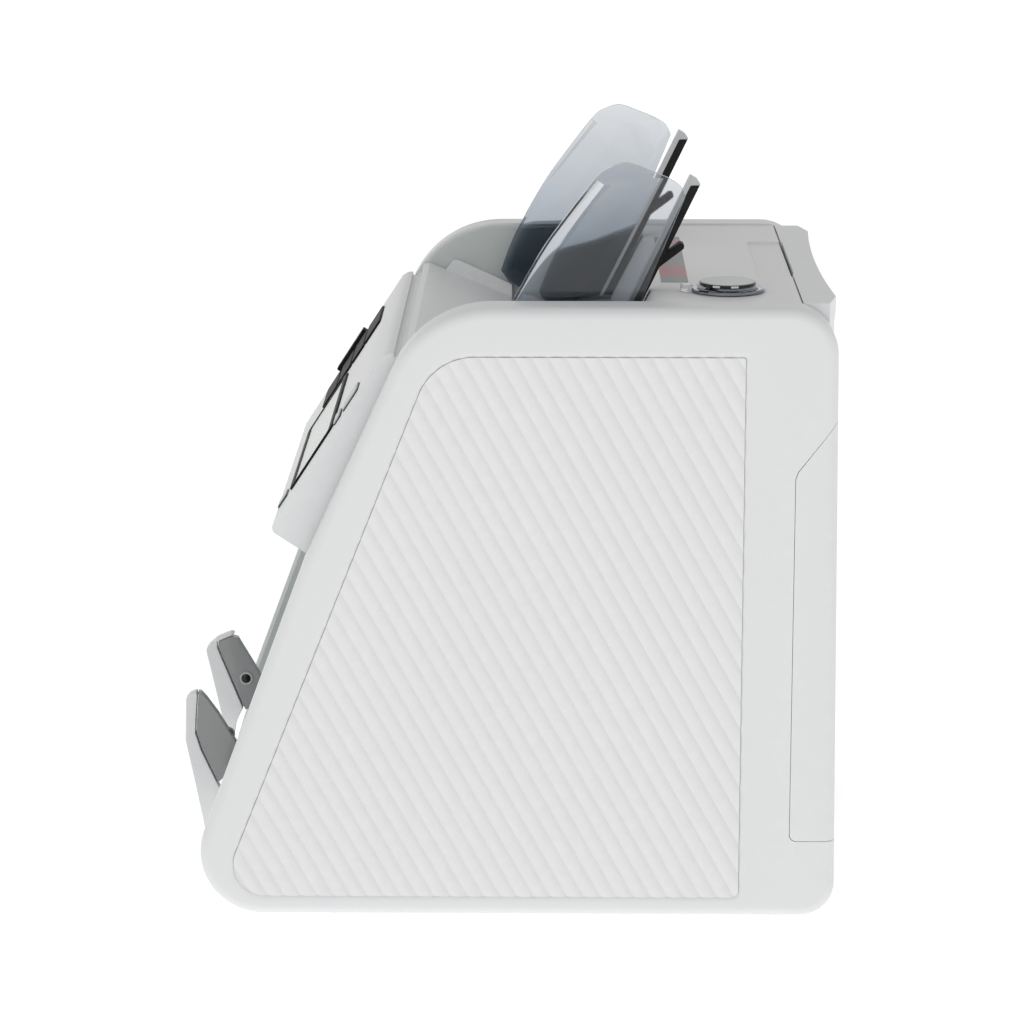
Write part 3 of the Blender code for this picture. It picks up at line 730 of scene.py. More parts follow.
def rib_tree():
    """A sheet of parallel rounded ribs in the YZ plane, cut to the shape of an outline object."""
    tree = Tree("rib_sheet", [("Material", "Material", None), ("Outline", "Object", None),
                              ("Pitch", "Float", 0.006), ("Depth", "Float", 0.0006), ("Lean", "Float", 0.5),
                              ("Count", "Int", 60), ("Face", "Float", 0.1), ("Side", "Float", 1.0),
                              ("Phase", "Float", 0.0)])
    given = tree.given
    across = tree.math("MULTIPLY", given["Pitch"], given["Count"])
    rows = tree.math("ADD", tree.math("MULTIPLY", given["Count"], 10.0), 1.0)
    sheet = tree.add("GeometryNodeMeshGrid", Size_X=across, Size_Y=0.6, Vertices_X=rows, Vertices_Y=2)
    place = tree.add("ShaderNodeSeparateXYZ", Vector=tree.add("GeometryNodeInputPosition").outputs[0]).outputs
    along = tree.math("DIVIDE", place["X"], given["Pitch"])
    turn = tree.math("FRACT", tree.math("ADD", along, given["Phase"]))
    skewed = tree.math("POWER", turn, 0.8)
    swell = tree.math("ABSOLUTE", tree.math("SINE", tree.math("MULTIPLY", skewed, math.pi)))
    height = tree.math("MULTIPLY", tree.math("POWER", swell, 0.7), given["Depth"])
    lift = tree.xyz(Z=height)
    waved = tree.add("GeometryNodeSetPosition", Geometry=sheet, Offset=lift)
    down = tree.xyz(Z=-0.004)
    thick = tree.add("GeometryNodeExtrudeMesh", {"mode": "FACES"}, Mesh=waved, Offset=down,
                     Offset_Scale=1.0, Individual=False)
    lid = tree.add("GeometryNodeFlipFaces", Mesh=waved)
    closed = tree.add("GeometryNodeJoinGeometry", Geometry=thick)
    tree.link(lid, closed.inputs[0])
    welded = tree.add("GeometryNodeMergeByDistance", Geometry=closed, Distance=0.000001)
    outward = tree.math("MULTIPLY", given["Side"], math.pi / 2)
    spun = tree.add("GeometryNodeTransform", Geometry=welded, Rotation=tree.xyz(Z=given["Lean"]))
    stood = tree.add("GeometryNodeTransform", Geometry=spun, Rotation=tree.xyz(Y=outward))
    centre = tree.xyz(X=given["Face"], Z=0.13)
    moved = tree.add("GeometryNodeTransform", Geometry=stood, Translation=centre)
    shape = tree.add("GeometryNodeObjectInfo", Object=given["Outline"])
    cut = tree.add("GeometryNodeMeshBoolean", {"operation": "INTERSECT", "solver": "EXACT"})
    tree.tree.links.new(shape.outputs["Geometry"], cut.inputs[1])
    tree.link(moved, cut.inputs[1])
    return tree.finish(cut.outputs[0])


def screw_tree():
    """Pan-head screws with a cross recess, one at each point, their heads facing along a direction."""
    tree = Tree("pan_screws", [("Material", "Material", None), ("Radius", "Float", 0.0027),
                               ("Height", "Float", 0.0014), ("Facing", "Vector", (0.0, 1.0, 0.0))])
    given = tree.given
    low = tree.add("GeometryNodeMeshCylinder", Vertices=28, Radius=given["Radius"], Depth=given["Height"])
    dome = tree.add("GeometryNodeMeshUVSphere", Segments=28, Rings=14, Radius=given["Radius"])
    flat = tree.add("GeometryNodeTransform", Geometry=dome, Scale=(0.96, 0.96, 0.42),
                    Translation=tree.xyz(Z=tree.math("MULTIPLY", given["Height"], 0.45)))
    head = tree.add("GeometryNodeMeshBoolean", {"operation": "UNION", "solver": "EXACT"})
    tree.link(low, head.inputs[1])
    tree.link(flat, head.inputs[1])
    long = tree.math("MULTIPLY", given["Radius"], 1.15)
    thin = tree.math("MULTIPLY", given["Radius"], 0.26)
    deep = tree.math("MULTIPLY", given["Height"], 1.4)
    top = tree.xyz(Z=tree.math("MULTIPLY", given["Height"], 1.35))
    cut = tree.add("GeometryNodeMeshBoolean", {"operation": "DIFFERENCE", "solver": "EXACT"}, i0=head)
    for sizes in ((long, thin, deep), (thin, long, deep)):
        size = tree.xyz(X=sizes[0], Y=sizes[1], Z=sizes[2])
        bar = tree.add("GeometryNodeMeshCube", Size=size)
        raised = tree.add("GeometryNodeTransform", Geometry=bar, Translation=top)
        tree.link(raised, cut.inputs[1])
    aim = tree.add("FunctionNodeAlignEulerToVector", {"axis": "Z"}, Vector=given["Facing"])
    dots = tree.add("GeometryNodeMeshToPoints", Mesh=given["Geometry"])
    many = tree.add("GeometryNodeInstanceOnPoints", Points=dots, Instance=cut, Rotation=aim)
    return tree.finish(many.outputs[0])


def fin_tree():
    """Thin fins swept round an axle along X, fixed to a hub at each point."""
    tree = Tree("swept_fins", [("Material", "Material", None), ("Count", "Int", 12), ("Hub", "Float", 0.015),
                               ("Tip", "Float", 0.036), ("Width", "Float", 0.008),
                               ("Thickness", "Float", 0.0016), ("Sweep", "Float", 0.75)])
    given = tree.given
    middle = tree.math("MULTIPLY", tree.math("ADD", given["Hub"], given["Tip"]), 0.52)
    root = tree.xyz(Z=tree.math("SUBTRACT", given["Hub"], 0.001))
    bend = tree.xyz(Z=middle, Y=tree.math("MULTIPLY", given["Sweep"], -0.003))
    aside, ahead = (tree.math("MULTIPLY", given["Tip"], tree.math(part, given["Sweep"]))
                    for part in ("SINE", "COSINE"))
    tip = tree.xyz(Y=aside, Z=ahead)
    path = tree.add("GeometryNodeCurveQuadraticBezier", Resolution=10, Start=root, Middle=bend, End=tip)
    section = tree.add("GeometryNodeCurvePrimitiveQuadrilateral", Width=given["Thickness"],
                       Height=given["Width"])
    fin = tree.add("GeometryNodeCurveToMesh", Curve=path, Profile_Curve=section, Fill_Caps=True)
    ring = tree.add("GeometryNodePoints", Count=given["Count"])
    turn = tree.math("MULTIPLY", tree.add("GeometryNodeInputIndex").outputs[0],
                     tree.math("DIVIDE", math.tau, given["Count"]))
    set_of = tree.add("GeometryNodeInstanceOnPoints", Points=ring, Instance=fin, Rotation=tree.xyz(X=turn))
    dots = tree.add("GeometryNodeMeshToPoints", Mesh=given["Geometry"])
    wheels = tree.add("GeometryNodeInstanceOnPoints", Points=dots, Instance=set_of)
    return tree.finish(wheels.outputs[0])


def chip_tree():
    """Flat components of random size scattered over a board that faces +Y, kept on a fixed seed."""
    tree = Tree("board_parts", [("Material", "Material", None), ("Size", "Vector", (0.005, 0.001, 0.004)),
                                ("Spread", "Float", 0.5), ("Seed", "Int", 1)])
    given = tree.given
    chip = tree.add("GeometryNodeMeshCube", Size=given["Size"])
    low = tree.math("SUBTRACT", 1.0, given["Spread"])
    high = tree.math("ADD", 1.0, given["Spread"])
    size = tree.add("FunctionNodeRandomValue", {"data_type": "FLOAT"}, Seed=given["Seed"])
    tree.tree.links.new(low, size.inputs[2])
    tree.tree.links.new(high, size.inputs[3])
    dots = tree.add("GeometryNodeMeshToPoints", Mesh=given["Geometry"])
    many = tree.add("GeometryNodeInstanceOnPoints", Points=dots, Instance=chip, Scale=size.outputs[1])
    return tree.finish(many.outputs[0])


RIBS, SCREWS, FINS, CHIPS = rib_tree(), screw_tree(), fin_tree(), chip_tree()


# ---------------------------------------------------------------- the casing

def side_cover(side, label):
    """A deep moulded cover: rounded rim, hollow inside, a recess with a soft lip for the ribbed inlay."""
    outline = band(COVER_CORNERS)
    sections = [(COVER_INNER, outline), (HALF_WIDTH - COVER_ROUND, outline)]
    steps = 8
    for k in range(1, steps + 1):
        turn = math.radians(90 * k / steps)
        inset = COVER_ROUND * (1 - math.cos(turn))
        sections.append((HALF_WIDTH - COVER_ROUND * (1 - math.sin(turn)), band(COVER_CORNERS, inset)))
    cover = loft(f"{label}_cover_shell", [(side * x, points) for x, points in sections])
    hollow_x = mirrored((COVER_INNER - 2, HALF_WIDTH - COVER_WALL), side)
    hollow = prism("hollow", band(COVER_CORNERS, COVER_WALL), hollow_x)
    lip_depth, lip_width = 0.9, 2.4
    mouth = [(INLAY_FACE - 1.6, band(INLAY_CORNERS)), (HALF_WIDTH - lip_depth, band(INLAY_CORNERS))]
    for k in range(1, 6):
        turn = math.radians(90 * k / 5)
        flare = -lip_width * (1 - math.cos(turn))
        mouth.append((HALF_WIDTH - lip_depth * (1 - math.sin(turn)), band(INLAY_CORNERS, flare)))
    mouth.append((HALF_WIDTH + 2, band(INLAY_CORNERS, -lip_width)))
    recess = loft("recess", [(side * x, points) for x, points in mouth])
    notch = prism("notch", wing_outline(0.2), mirrored((COVER_INNER - 2, HALF_WIDTH + 2), side))
    carve(cover, hollow, recess, notch)
    place(cover, "machine", "white_shell", "shell", f"{label}_side_cover", smooth=24)


def ribbed_inlay(side, label):
    face = INLAY_FACE + 0.25
    outline = prism("inlay_outline", band(INLAY_CORNERS, 0.06), mirrored((INLAY_FACE - 1.2, face + 3), side))
    depth = 0.75
    inlay = RIBS.run(f"{label}_ribbed_panel", "ribbed", cutter=outline, Pitch=RIB_PITCH * MM,
                     Depth=depth * MM, Lean=-side * RIB_LEAN, Count=64,
                     Face=side * (face - depth) * MM, Side=float(side), Phase=0.5 + side * 0.175)
    place(inlay, "machine", "white_shell", "ribbed", f"{label}_rib_inlay", smooth=50)


def liner(side, label):
    """The grey-green inner panel of a cover, cut back where the deck and the rear end sit."""
    panel = prism(f"{label}_liner_panel", band(COVER_CORNERS, 1.2), mirrored(LINER_X, side))
    room = [(rest_line(236, GAP), 236), (rest_line(270, GAP), 270), (150, 270), (150, 2), (108, 2)]
    room.append((108, 236))
    carve(panel, prism("deck_room", room, mirrored((100, 110), side)))
    place(soften(panel, 0.5), "machine", "grey_plastic", "liner", f"{label}_liner")


def chassis_plate(side, label):
    low, high = reach(f"{label}_chassis_plate")
    outline = [(-83, 22), (112, 22), (112, 212), (62, 224), (4, 224), (-38, 150)]
    plate = prism(f"{label}_chassis", outline, (low.x, high.x))
    wide = (low.x - 2, high.x + 2)
    holes = [rod("hole", centre, wide, 4.4) for centre in (FEED_AT, DRIVE_AT, PINCH_AT, STACK_AT)]
    holes.append(rod("hole", RETARD_AT, wide, 8))
    holes.append(prism("window", [(-8, 40), (96, 40), (96, 58), (10, 58)], wide))
    holes += [rod("lightening", centre, wide, 9) for centre in ((86, 96), (86, 132), (-10, 130), (20, 160))]
    place(soften(carve(plate, *holes), 0.25), "machine", "sheet_steel", "steel", f"{label}_chassis_plate")
    inner = (low.x if side > 0 else high.x) - side * 0.5
    heads = [(inner, y, z) for y, z in ((-60, 34), (104, 34), (104, 200), (10, 216))]
    screws = SCREWS.run(f"{label}_chassis_screws", "ground", heads, Facing=(-float(side), 0.0, 0.0))
    place(screws, "machine", "sheet_steel", "ground")


def base_and_feet():
    low, high = reach("base_tray")
    under = low.z
    tray = box_between("floor_tray", low, high)
    wall = 1.6
    inside = block("inside", (low.x + wall, high.x - wall), (low.y + wall, high.y - wall),
                   (low.z + wall, high.z + 4))
    vents = []
    for x in range(-60, 61, 12):
        vents.append(plate_of("vent", rounded((x - 2, x + 2), (20, 70), 1.9), low.z - 2, low.z + 4))
    place(soften(carve(tray, inside, *vents), 0.3), "machine", "sheet_steel", "steel", "base_tray")
    for _, label in LABELS:
        for end in ("front", "rear"):
            node = f"foot_{end}_{label}"
            low, high = reach(node)
            centre = ((low.x + high.x) / 2, (low.y + high.y) / 2, 0)
            profile = [(0, 0), (0.5, 0), (0.5, 3), (0, 4), (0, 8.1), (0.4, 8.6)]
            profile += [(3.2, 9.8), (3.7, 10), (3.7, 0)]
            place(turned(f"{node}_pad", centre, profile, axis="Z"), "machine", "rubber_parts", "rubber", node)
    corners = [(x, y, under + 0.3) for x in (-70, 70) for y in (-92, 108)]
    screws = SCREWS.run("tray_screws", "ground", corners, Facing=(0.0, 0.0, -1.0), Height=0.0012)
    place(screws, "machine", "sheet_steel", "ground")


def deck():
    """The top deck: a sheet with a shallow finger recess, and the hopper's rear wall."""
    foot = 238
    thick = 2.8
    outline = [(rest_line(foot), foot), *arc((DECK_FRONT + 1.4, DECK_TOP - 1.2), 1.2, 154, 90, 5)]
    outline += [(DECK_REAR, DECK_TOP), (DECK_REAR, DECK_TOP - thick), (DECK_FRONT + 1.8, DECK_TOP - thick)]
    outline.append((rest_line(foot) + 3, foot))
    sheet = prism("deck_sheet", outline, (-INNER_X, INNER_X))
    dish = rounded((-57, 39), (109, 134), 2)
    recess = plate_of("dish", dish, DECK_TOP - 0.9, DECK_TOP + 3)
    hole = turned("knob_hole", (*KNOB_AT, 0), [(255, 0), (255, 5.4), (275, 5.4), (275, 0)], axis="Z")
    place(soften(carve(sheet, recess, hole), 0.35), "machine", "white_shell", "deck", "top_deck")
    edge = rounded((-70, 55.6), (66.6, 78.3), 0.8)
    sticker = plate_of("deck_label", edge, DECK_TOP - 0.02, DECK_TOP + 0.12)
    place(sticker, "machine", "grey_plastic", "label")


def hopper_mouth():
    """The sloping hopper front with a finger dip in its middle and an upstand at each end."""
    slope = [(-41.4, 248.9), (-38.5, 249.5), (0.5, 233.7), (0.5, 230.7), (-38.5, 245.7), (-41.4, 245.7)]
    front = prism("hopper_slope", slope, (-MID_X, MID_X))
    for side, _ in LABELS:
        fin = [(-31, 246), (-27.5, 251), (-25, 251), (0.5, 239.6), (0.5, 232), (-31, 244)]
        join(front, prism("upstand", fin, mirrored((MID_X - 3.2, MID_X - 0.01), side)))
    # Floor and mouth of the dip: half width and (y, z) at its back, then at its front.
    dip = [(32, (-32, 246.9), 28, (-5, 235.2)), (42, (-37, 251), 36, (-1, 236))]
    rings = [[(-back, *high), (back, *high), (near, *low), (-near, *low)] for back, high, near, low in dip]
    carve(front, skinned("finger_dip", rings))
    place(soften(front, 0.5, 3), "machine", "white_shell", "shell", "hopper_front")


def feed_bed():
    low, high = reach("feed_bed")
    outline = [(1, 231.4), (28, 224.6), (28, 222.2), (1, 229)]
    bed = prism("feed_bed_plate", outline, (low.x, high.x))
    cuts = []
    for side, _ in LABELS:
        cuts.append(block("slot", mirrored((15, 29), side), (2.5, 31), (215, 240)))
        cuts.append(block("way", mirrored((GUIDE_X[0] - 36, 103), side), (21.5, 25.5), (215, 240)))
    carve(bed, *cuts)
    runs = [x for x in range(-92, 93, 8) if not 12 < abs(x) < 32]
    for x in runs:
        bead = [(2, 230.9), (3, 231.6), (20, 227.4), (20.8, 226)]
        join(bed, prism("bead", bead, (x - 0.7, x + 0.7)))
    place(soften(bed, 0.2), "machine", "grey_plastic", "grey", "feed_bed")


# ---------------------------------------------------------------- the control head

def control_head():
    top = face_point(FACE_LENGTH, 0)
    low = face_point(0, -30)
    corner = face_point(3.2, -3.2)
    turn = math.degrees(HEAD_SLOPE)
    outline = [low, *arc(corner, 3.2, turn - 180, turn - 270, 8), face_point(FACE_LENGTH - 2, 0)]
    outline += [(top[0] + 1.2, top[1] - 0.3), (top[0] + 2.2, top[1]), (-46.4, top[1]), (-46.2, top[1] - 1.6)]
    outline += [(-44.0, top[1] - 1.6), (-43.8, top[1]), (-42, top[1]), (-42, 238)]
    head = prism("head_shell", outline, (-MID_X, MID_X))
    cuts = []
    for _, x_range, s_range, _ in KEYS:
        hole = rounded((x_range[0] - GAP, x_range[1] + GAP), (s_range[0] - GAP, s_range[1] + GAP), 1.6)
        cuts.append(face_solid("hole", hole, -4.4, 6))
    frame_hole = rounded((WINDOW_X[0] - GAP, WINDOW_X[1] + GAP), (WINDOW_S[0] - GAP, WINDOW_S[1] + GAP), 3.4)
    cuts.append(face_solid("window_hole", frame_hole, -1.2, 6))
    place(soften(carve(head, *cuts), 0.3), "machine", "white_shell", "shell", "head_housing")


def keys():
    looks = {"key_power": "key_green", "key_right_upper": "key_grey", "key_right_lower": "key_grey"}
    for name, x_range, s_range, height in KEYS:
        cap = face_solid(f"{name}_cap", rounded(x_range, s_range, 1.5), -3.4, height)
        soften(cap, 0.45, 3)
        place(cap, name, "black_gloss", looks.get(name, "key_black"), name)
    # The black skirt round each grey key is partly the rubber keypad and partly painted shade along the key's
    # sides.
    for name in ("key_right_upper", "key_right_lower"):
        _, x_range, s_range, height = next(key for key in KEYS if key[0] == name)
        skirt = face_solid(f"{name}_skirt", rounded((x_range[0] - 0.2, x_range[1] + 0.2),
                                                    (s_range[0] - 0.2, s_range[1] + 0.2), 1.7), -3.6, 0.45)
        place(soften(skirt, 0.15), name, "black_gloss", "black")


def display():
    outer = rounded(WINDOW_X, WINDOW_S, 3)
    rim = face_solid("display_frame", outer, -0.8, 0.9)
    inner_x, inner_s = (WINDOW_X[0] + 3, WINDOW_X[1] - 3), (WINDOW_S[0] + 3, WINDOW_S[1] - 3)
    carve(rim, face_solid("opening", rounded(inner_x, inner_s, 2), 0.1, 3))
    place(soften(rim, 0.25), "machine", "black_gloss", "key_black", "display_window")
    glass = face_solid("display_glass", rounded((inner_x[0] + 0.2, inner_x[1] - 0.2),
                                                (inner_s[0] + 0.2, inner_s[1] - 0.2), 1.8), 0.06, 0.55)
    place(soften(glass, 0.15), "machine", "black_gloss", "display")


# ---------------------------------------------------------------- guides and rests

GUIDE_FRONT = [(-4.7, 246.6), (2, 264), (14.6, 287), (24.3, 301), (37.7, 318.4)]
GUIDE_CROWN = [(43.5, 323), (51, 325), (60, 322), (68, 318.7), (73, 315.3), (75, 311)]
LIP_SECTION = [(0.15, 0.8), (0.15, -1.5), (1.2, -1.7), (5.6, 0.3)]  # back from the edge, out from the plate
BOSS_AT, PIN_AT = (42.0, 260.6), (28.0, 255.4)


def guides():
    """Clear smoked side guides: a plate, a bevelled lip along its front edge, a boss and a pin."""
    edge = smooth_run(GUIDE_FRONT + GUIDE_CROWN)
    outline = edge + [(55, 262), (42, 236), (8, 236), (-1.2, 241.7)]
    lip = smooth_run(GUIDE_FRONT)
    for side, label in LABELS:
        plate = prism(f"guide_plate_{label}", outline, mirrored(GUIDE_X, side))
        foot_x = mirrored((GUIDE_X[0] - 3, GUIDE_X[0] + 0.4), side)
        inner = side * GUIDE_X[0]
        rings = []
        for i, (y, z) in enumerate(lip):
            before, after = Vector(lip[max(0, i - 1)]), Vector(lip[min(len(lip) - 1, i + 1)])
            along = (after - before).normalized()
            back = Vector((along.y, -along.x))
            rings.append([(inner + side * rise, y + back.x * d, z + back.y * d) for d, rise in LIP_SECTION])
        ridge = skinned("lip", rings)
        foot = block("foot", foot_x, (22, 25), (219.5, 240))
        boss_x = mirrored((GUIDE_X[0] - 2.4, GUIDE_X[0] + 0.4), side)
        boss = rod("boss", BOSS_AT, boss_x, 6.6)
        well = rod("well", BOSS_AT, mirrored((GUIDE_X[0] - 4, GUIDE_X[0] - 0.4), side), 4.2)
        pin = rod("pin", PIN_AT, foot_x, 2.2)
        join(plate, ridge, foot, boss, pin)
        carve(plate, well)
        soften(plate, 0.3)
        place(plate, f"guide_{label}", "smoke_clear", "smoke", f"hopper_guide_{label}")


def note_rests():
    """Narrow note rests: a grey front strip on a black back strip, with a thumb tab and a clip."""
    low, high = 240, 311.4
    for side, label in LABELS:
        x_range = mirrored(REST_X, side)
        front = [(rest_line(low, 6.6), low), (rest_line(316, 6.6), 316.4), (rest_line(high, 1.6), high + 3.4)]
        front += [(rest_line(high + 1, forward), high + 1) for forward in (0.4, 4.4)]
        front.append((rest_line(low, 4.4), low))
        strip = prism(f"rest_strip_{label}", front, x_range)
        place(soften(strip, 0.35, 3), f"guide_{label}", "grey_plastic", "rest_grey", f"note_rest_{label}")
        back = [(rest_line(low, 4.38), low), (rest_line(high, 4.38), high + 0.9)]
        back += [(rest_line(high, 0.4), high + 0.9), (rest_line(low, 0.4), low)]
        spine = prism(f"rest_spine_{label}", back, x_range)
        tie = [(rest_line(241, 0.6), 241), (rest_line(247, 0.6), 247), (rest_line(247, 3.0), 247)]
        tie.append((rest_line(241, 3.0), 241))
        tie_x = mirrored((REST_X[1] - 1, GUIDE_X[0] - GAP), side)
        tilt = math.atan2(8.6, 10.8)
        reach_y, reach_z = 10.4, 8.3
        tab_foot = (62.0, 276.8)
        tip = (tab_foot[0] + reach_y + 1.6, tab_foot[1] + reach_z + 1.2)
        angle = math.degrees(tilt)
        tab = [(tab_foot[0] - 1, tab_foot[1] - 2.4), *arc(tip, 1.6, angle - 90, angle + 90, 10)]
        tab.append((tab_foot[0] - 1, tab_foot[1] + 1.4))
        thumb = prism("thumb", tab, mirrored((REST_X[0] + 1, REST_X[1] - 1), side))
        join(spine, prism("tie", tie, tie_x), thumb)
        place(soften(spine, 0.2), f"guide_{label}", "black_gloss", "black")


# ---------------------------------------------------------------- the transport

def shaft(name, body, at, look="ground", pulley=None, node=None):
    """A ground shaft with chamfered ends, retaining grooves and, on some, a flanged pulley."""
    end = MID_X - 0.4
    profile = [(-end, 0), (-end, SHAFT_R - 0.5), (-end + 0.5, SHAFT_R), (-end + 2.4, SHAFT_R)]
    profile += [(-end + 2.4, SHAFT_R - 0.5), (-end + 3.3, SHAFT_R - 0.5), (-end + 3.3, SHAFT_R)]
    back = [(-x, radius) for x, radius in reversed(profile)]
    if pulley:
        (x0, x1), radius = pulley
        hub, flange = SHAFT_R + 3.2, radius + 1.1
        profile += [(x0 - 6, SHAFT_R), (x0 - 6, hub), (x0 - 0.4, hub), (x0 - 0.4, flange)]
        profile += [(x0 + 0.2, flange), (x0 + 0.2, radius), (x1 - 0.2, radius), (x1 - 0.2, flange)]
        profile += [(x1 + 0.4, flange), (x1 + 0.4, SHAFT_R)]
    rod_piece = turned(name, (0, *at), profile + back)
    place(rod_piece, body, "sheet_steel", look, node)


def tyre_profile(x0, x1, bore, radius, grooves):
    """A roller's outline with a chamfer at each end and shallow grooves round it."""
    step = (x1 - x0) / (grooves + 1)
    profile = [(x0, bore), (x0, radius - 0.6), (x0 + 0.6, radius)]
    for k in range(1, grooves + 1):
        middle = x0 + step * k
        profile += [(middle - 0.5, radius), (middle - 0.35, radius - 0.8), (middle + 0.35, radius - 0.8)]
        profile.append((middle + 0.5, radius))
    return profile + [(x1 - 0.6, radius), (x1, radius - 0.6), (x1, bore)]


def transport():
    feed, drive = 16.0, 18.0
    shaft("feed_axle", "feed_rotor", FEED_AT, node="feed_shaft")
    shaft("drive_axle", "drive_rotor", DRIVE_AT, pulley=((83.5, 87.5), 14.0), node="drive_shaft")
    shaft("stacker_axle", "stacker_rotor", STACK_AT, pulley=((89.5, 93.5), 19.0), node="stacker_shaft")
    for side, label in LABELS:
        x0, x1 = mirrored((16.0, 28.0), side)
        hub = [(x0 - 0.6, 4.1), (x0 - 0.6, 8), (x0 + 0.4, 8), (x0 + 0.4, feed - 3.5), (x1 - 0.4, feed - 3.5)]
        hub += [(x1 - 0.4, 8), (x1 + 0.6, 8), (x1 + 0.6, 4.1)]
        for name, at, radius, look in (("feed", FEED_AT, feed, "tyre"), ("drive", DRIVE_AT, drive, "rubber")):
            tyre = turned(f"{name}_tyre_{label}", (0, *at), tyre_profile(x0, x1, radius - 4, radius, 3))
            place(tyre, f"{name}_rotor", "rubber_parts", look, f"{name}_roller_{label}")
            core = turned(f"{name}_core_{label}", (0, *at), hub)
            place(core, f"{name}_rotor", "grey_plastic", "insulator")
    end = MID_X - 0.4
    pinch = [(-end, 0), (-end, 3.5), (-end + 0.5, 4), (-28.4, 4), (-28.4, 5), (-28, 5)]
    pinch += [(-28, 7.6), (-27.6, 8), (-16.4, 8), (-16, 7.6), (-16, 4)]
    pinch += [(-x, radius) for x, radius in reversed(pinch)]
    place(turned("pinch_axle", (0, *PINCH_AT), pinch), "pinch_rotor", "sheet_steel", "ground",
          "pinch_roller_shaft")
    retard = [(-98, 0), (-98, 3), (-31, 3), *tyre_profile(-30, 30, 3, 8, 9), (31, 3), (98, 3), (98, 0)]
    place(turned("retard_tyre", (0, *RETARD_AT), retard), "machine", "rubber_parts", "rubber",
          "retard_roller")
    for side, label in LABELS:
        x0, x1 = mirrored((26.0, 34.0), side)
        hub = turned(f"stacker_hub_{label}", (0, *STACK_AT),
                     [(x0, 4.1), (x0, 14.2), (x0 + 0.8, 15), (x1 - 0.8, 15), (x1, 14.2), (x1, 4.1)])
        place(hub, "stacker_rotor", "rubber_parts", "grey", f"stacker_wheel_{label}")
    centres = [(side * 30.0, *STACK_AT) for side, _ in LABELS]
    fins = FINS.run("stacker_fins", "rubber", centres, Count=12, Width=0.0078, Thickness=0.0015, Tip=0.0355)
    place(fins, "stacker_rotor", "rubber_parts", "rubber")


def motor():
    body = [(8, 0), (8, 9.4), (8.6, 10), (9.4, 10), (9.4, 25.6), (10.8, 27), (24, 27), (24.3, 26.5)]
    body += [(24.9, 26.5), (25.2, 27), (62, 27), (64.6, 26), (66, 24.4), (66.4, 13), (69.6, 12.4)]
    body += [(70, 12), (70, 0)]
    place(turned("motor_can", (0, *MOTOR_AT), body, sides=96), "machine", "sheet_steel", "can", "motor")
    pulley = [(70.5, 0), (70.5, 2.6), (70.9, 3), (82.8, 3), (82.8, 10), (83.4, 10), (83.4, 9)]
    pulley += [(88.2, 9), (88.2, 10), (88.8, 10), (88.8, 9), (93.6, 9), (93.6, 8.6), (94, 8.2), (94, 0)]
    place(turned("motor_drum", (0, *MOTOR_AT), pulley), "motor_rotor", "sheet_steel", "ground",
          "motor_pulley")
    ring = [(66.6, MOTOR_AT[0] + 19 * math.cos(a), MOTOR_AT[1] + 19 * math.sin(a))
            for a in (math.radians(45 + 90 * k) for k in range(4))]
    place(SCREWS.run("motor_screws", "ground", ring, Facing=(1.0, 0.0, 0.0), Radius=0.0022), "machine",
          "sheet_steel", "ground")


def belts():
    loops = (("drive_belt", DRIVE_AT, 14.0, (84, 87)), ("stacker_belt", STACK_AT, 19.0, (90, 93)))
    for name, at, radius, x_range in loops:
        ends = [(*MOTOR_AT, 9.0), (*at, radius)]
        hoop = prism(f"{name}_loop", band(ends, -1.6 - GAP, 6), x_range)
        carve(hoop, prism("inside", band(ends, -GAP, 6), (x_range[0] - 1, x_range[1] + 1)))
        place(soften(hoop, 0.25), "machine", "rubber_parts", "rubber", name)


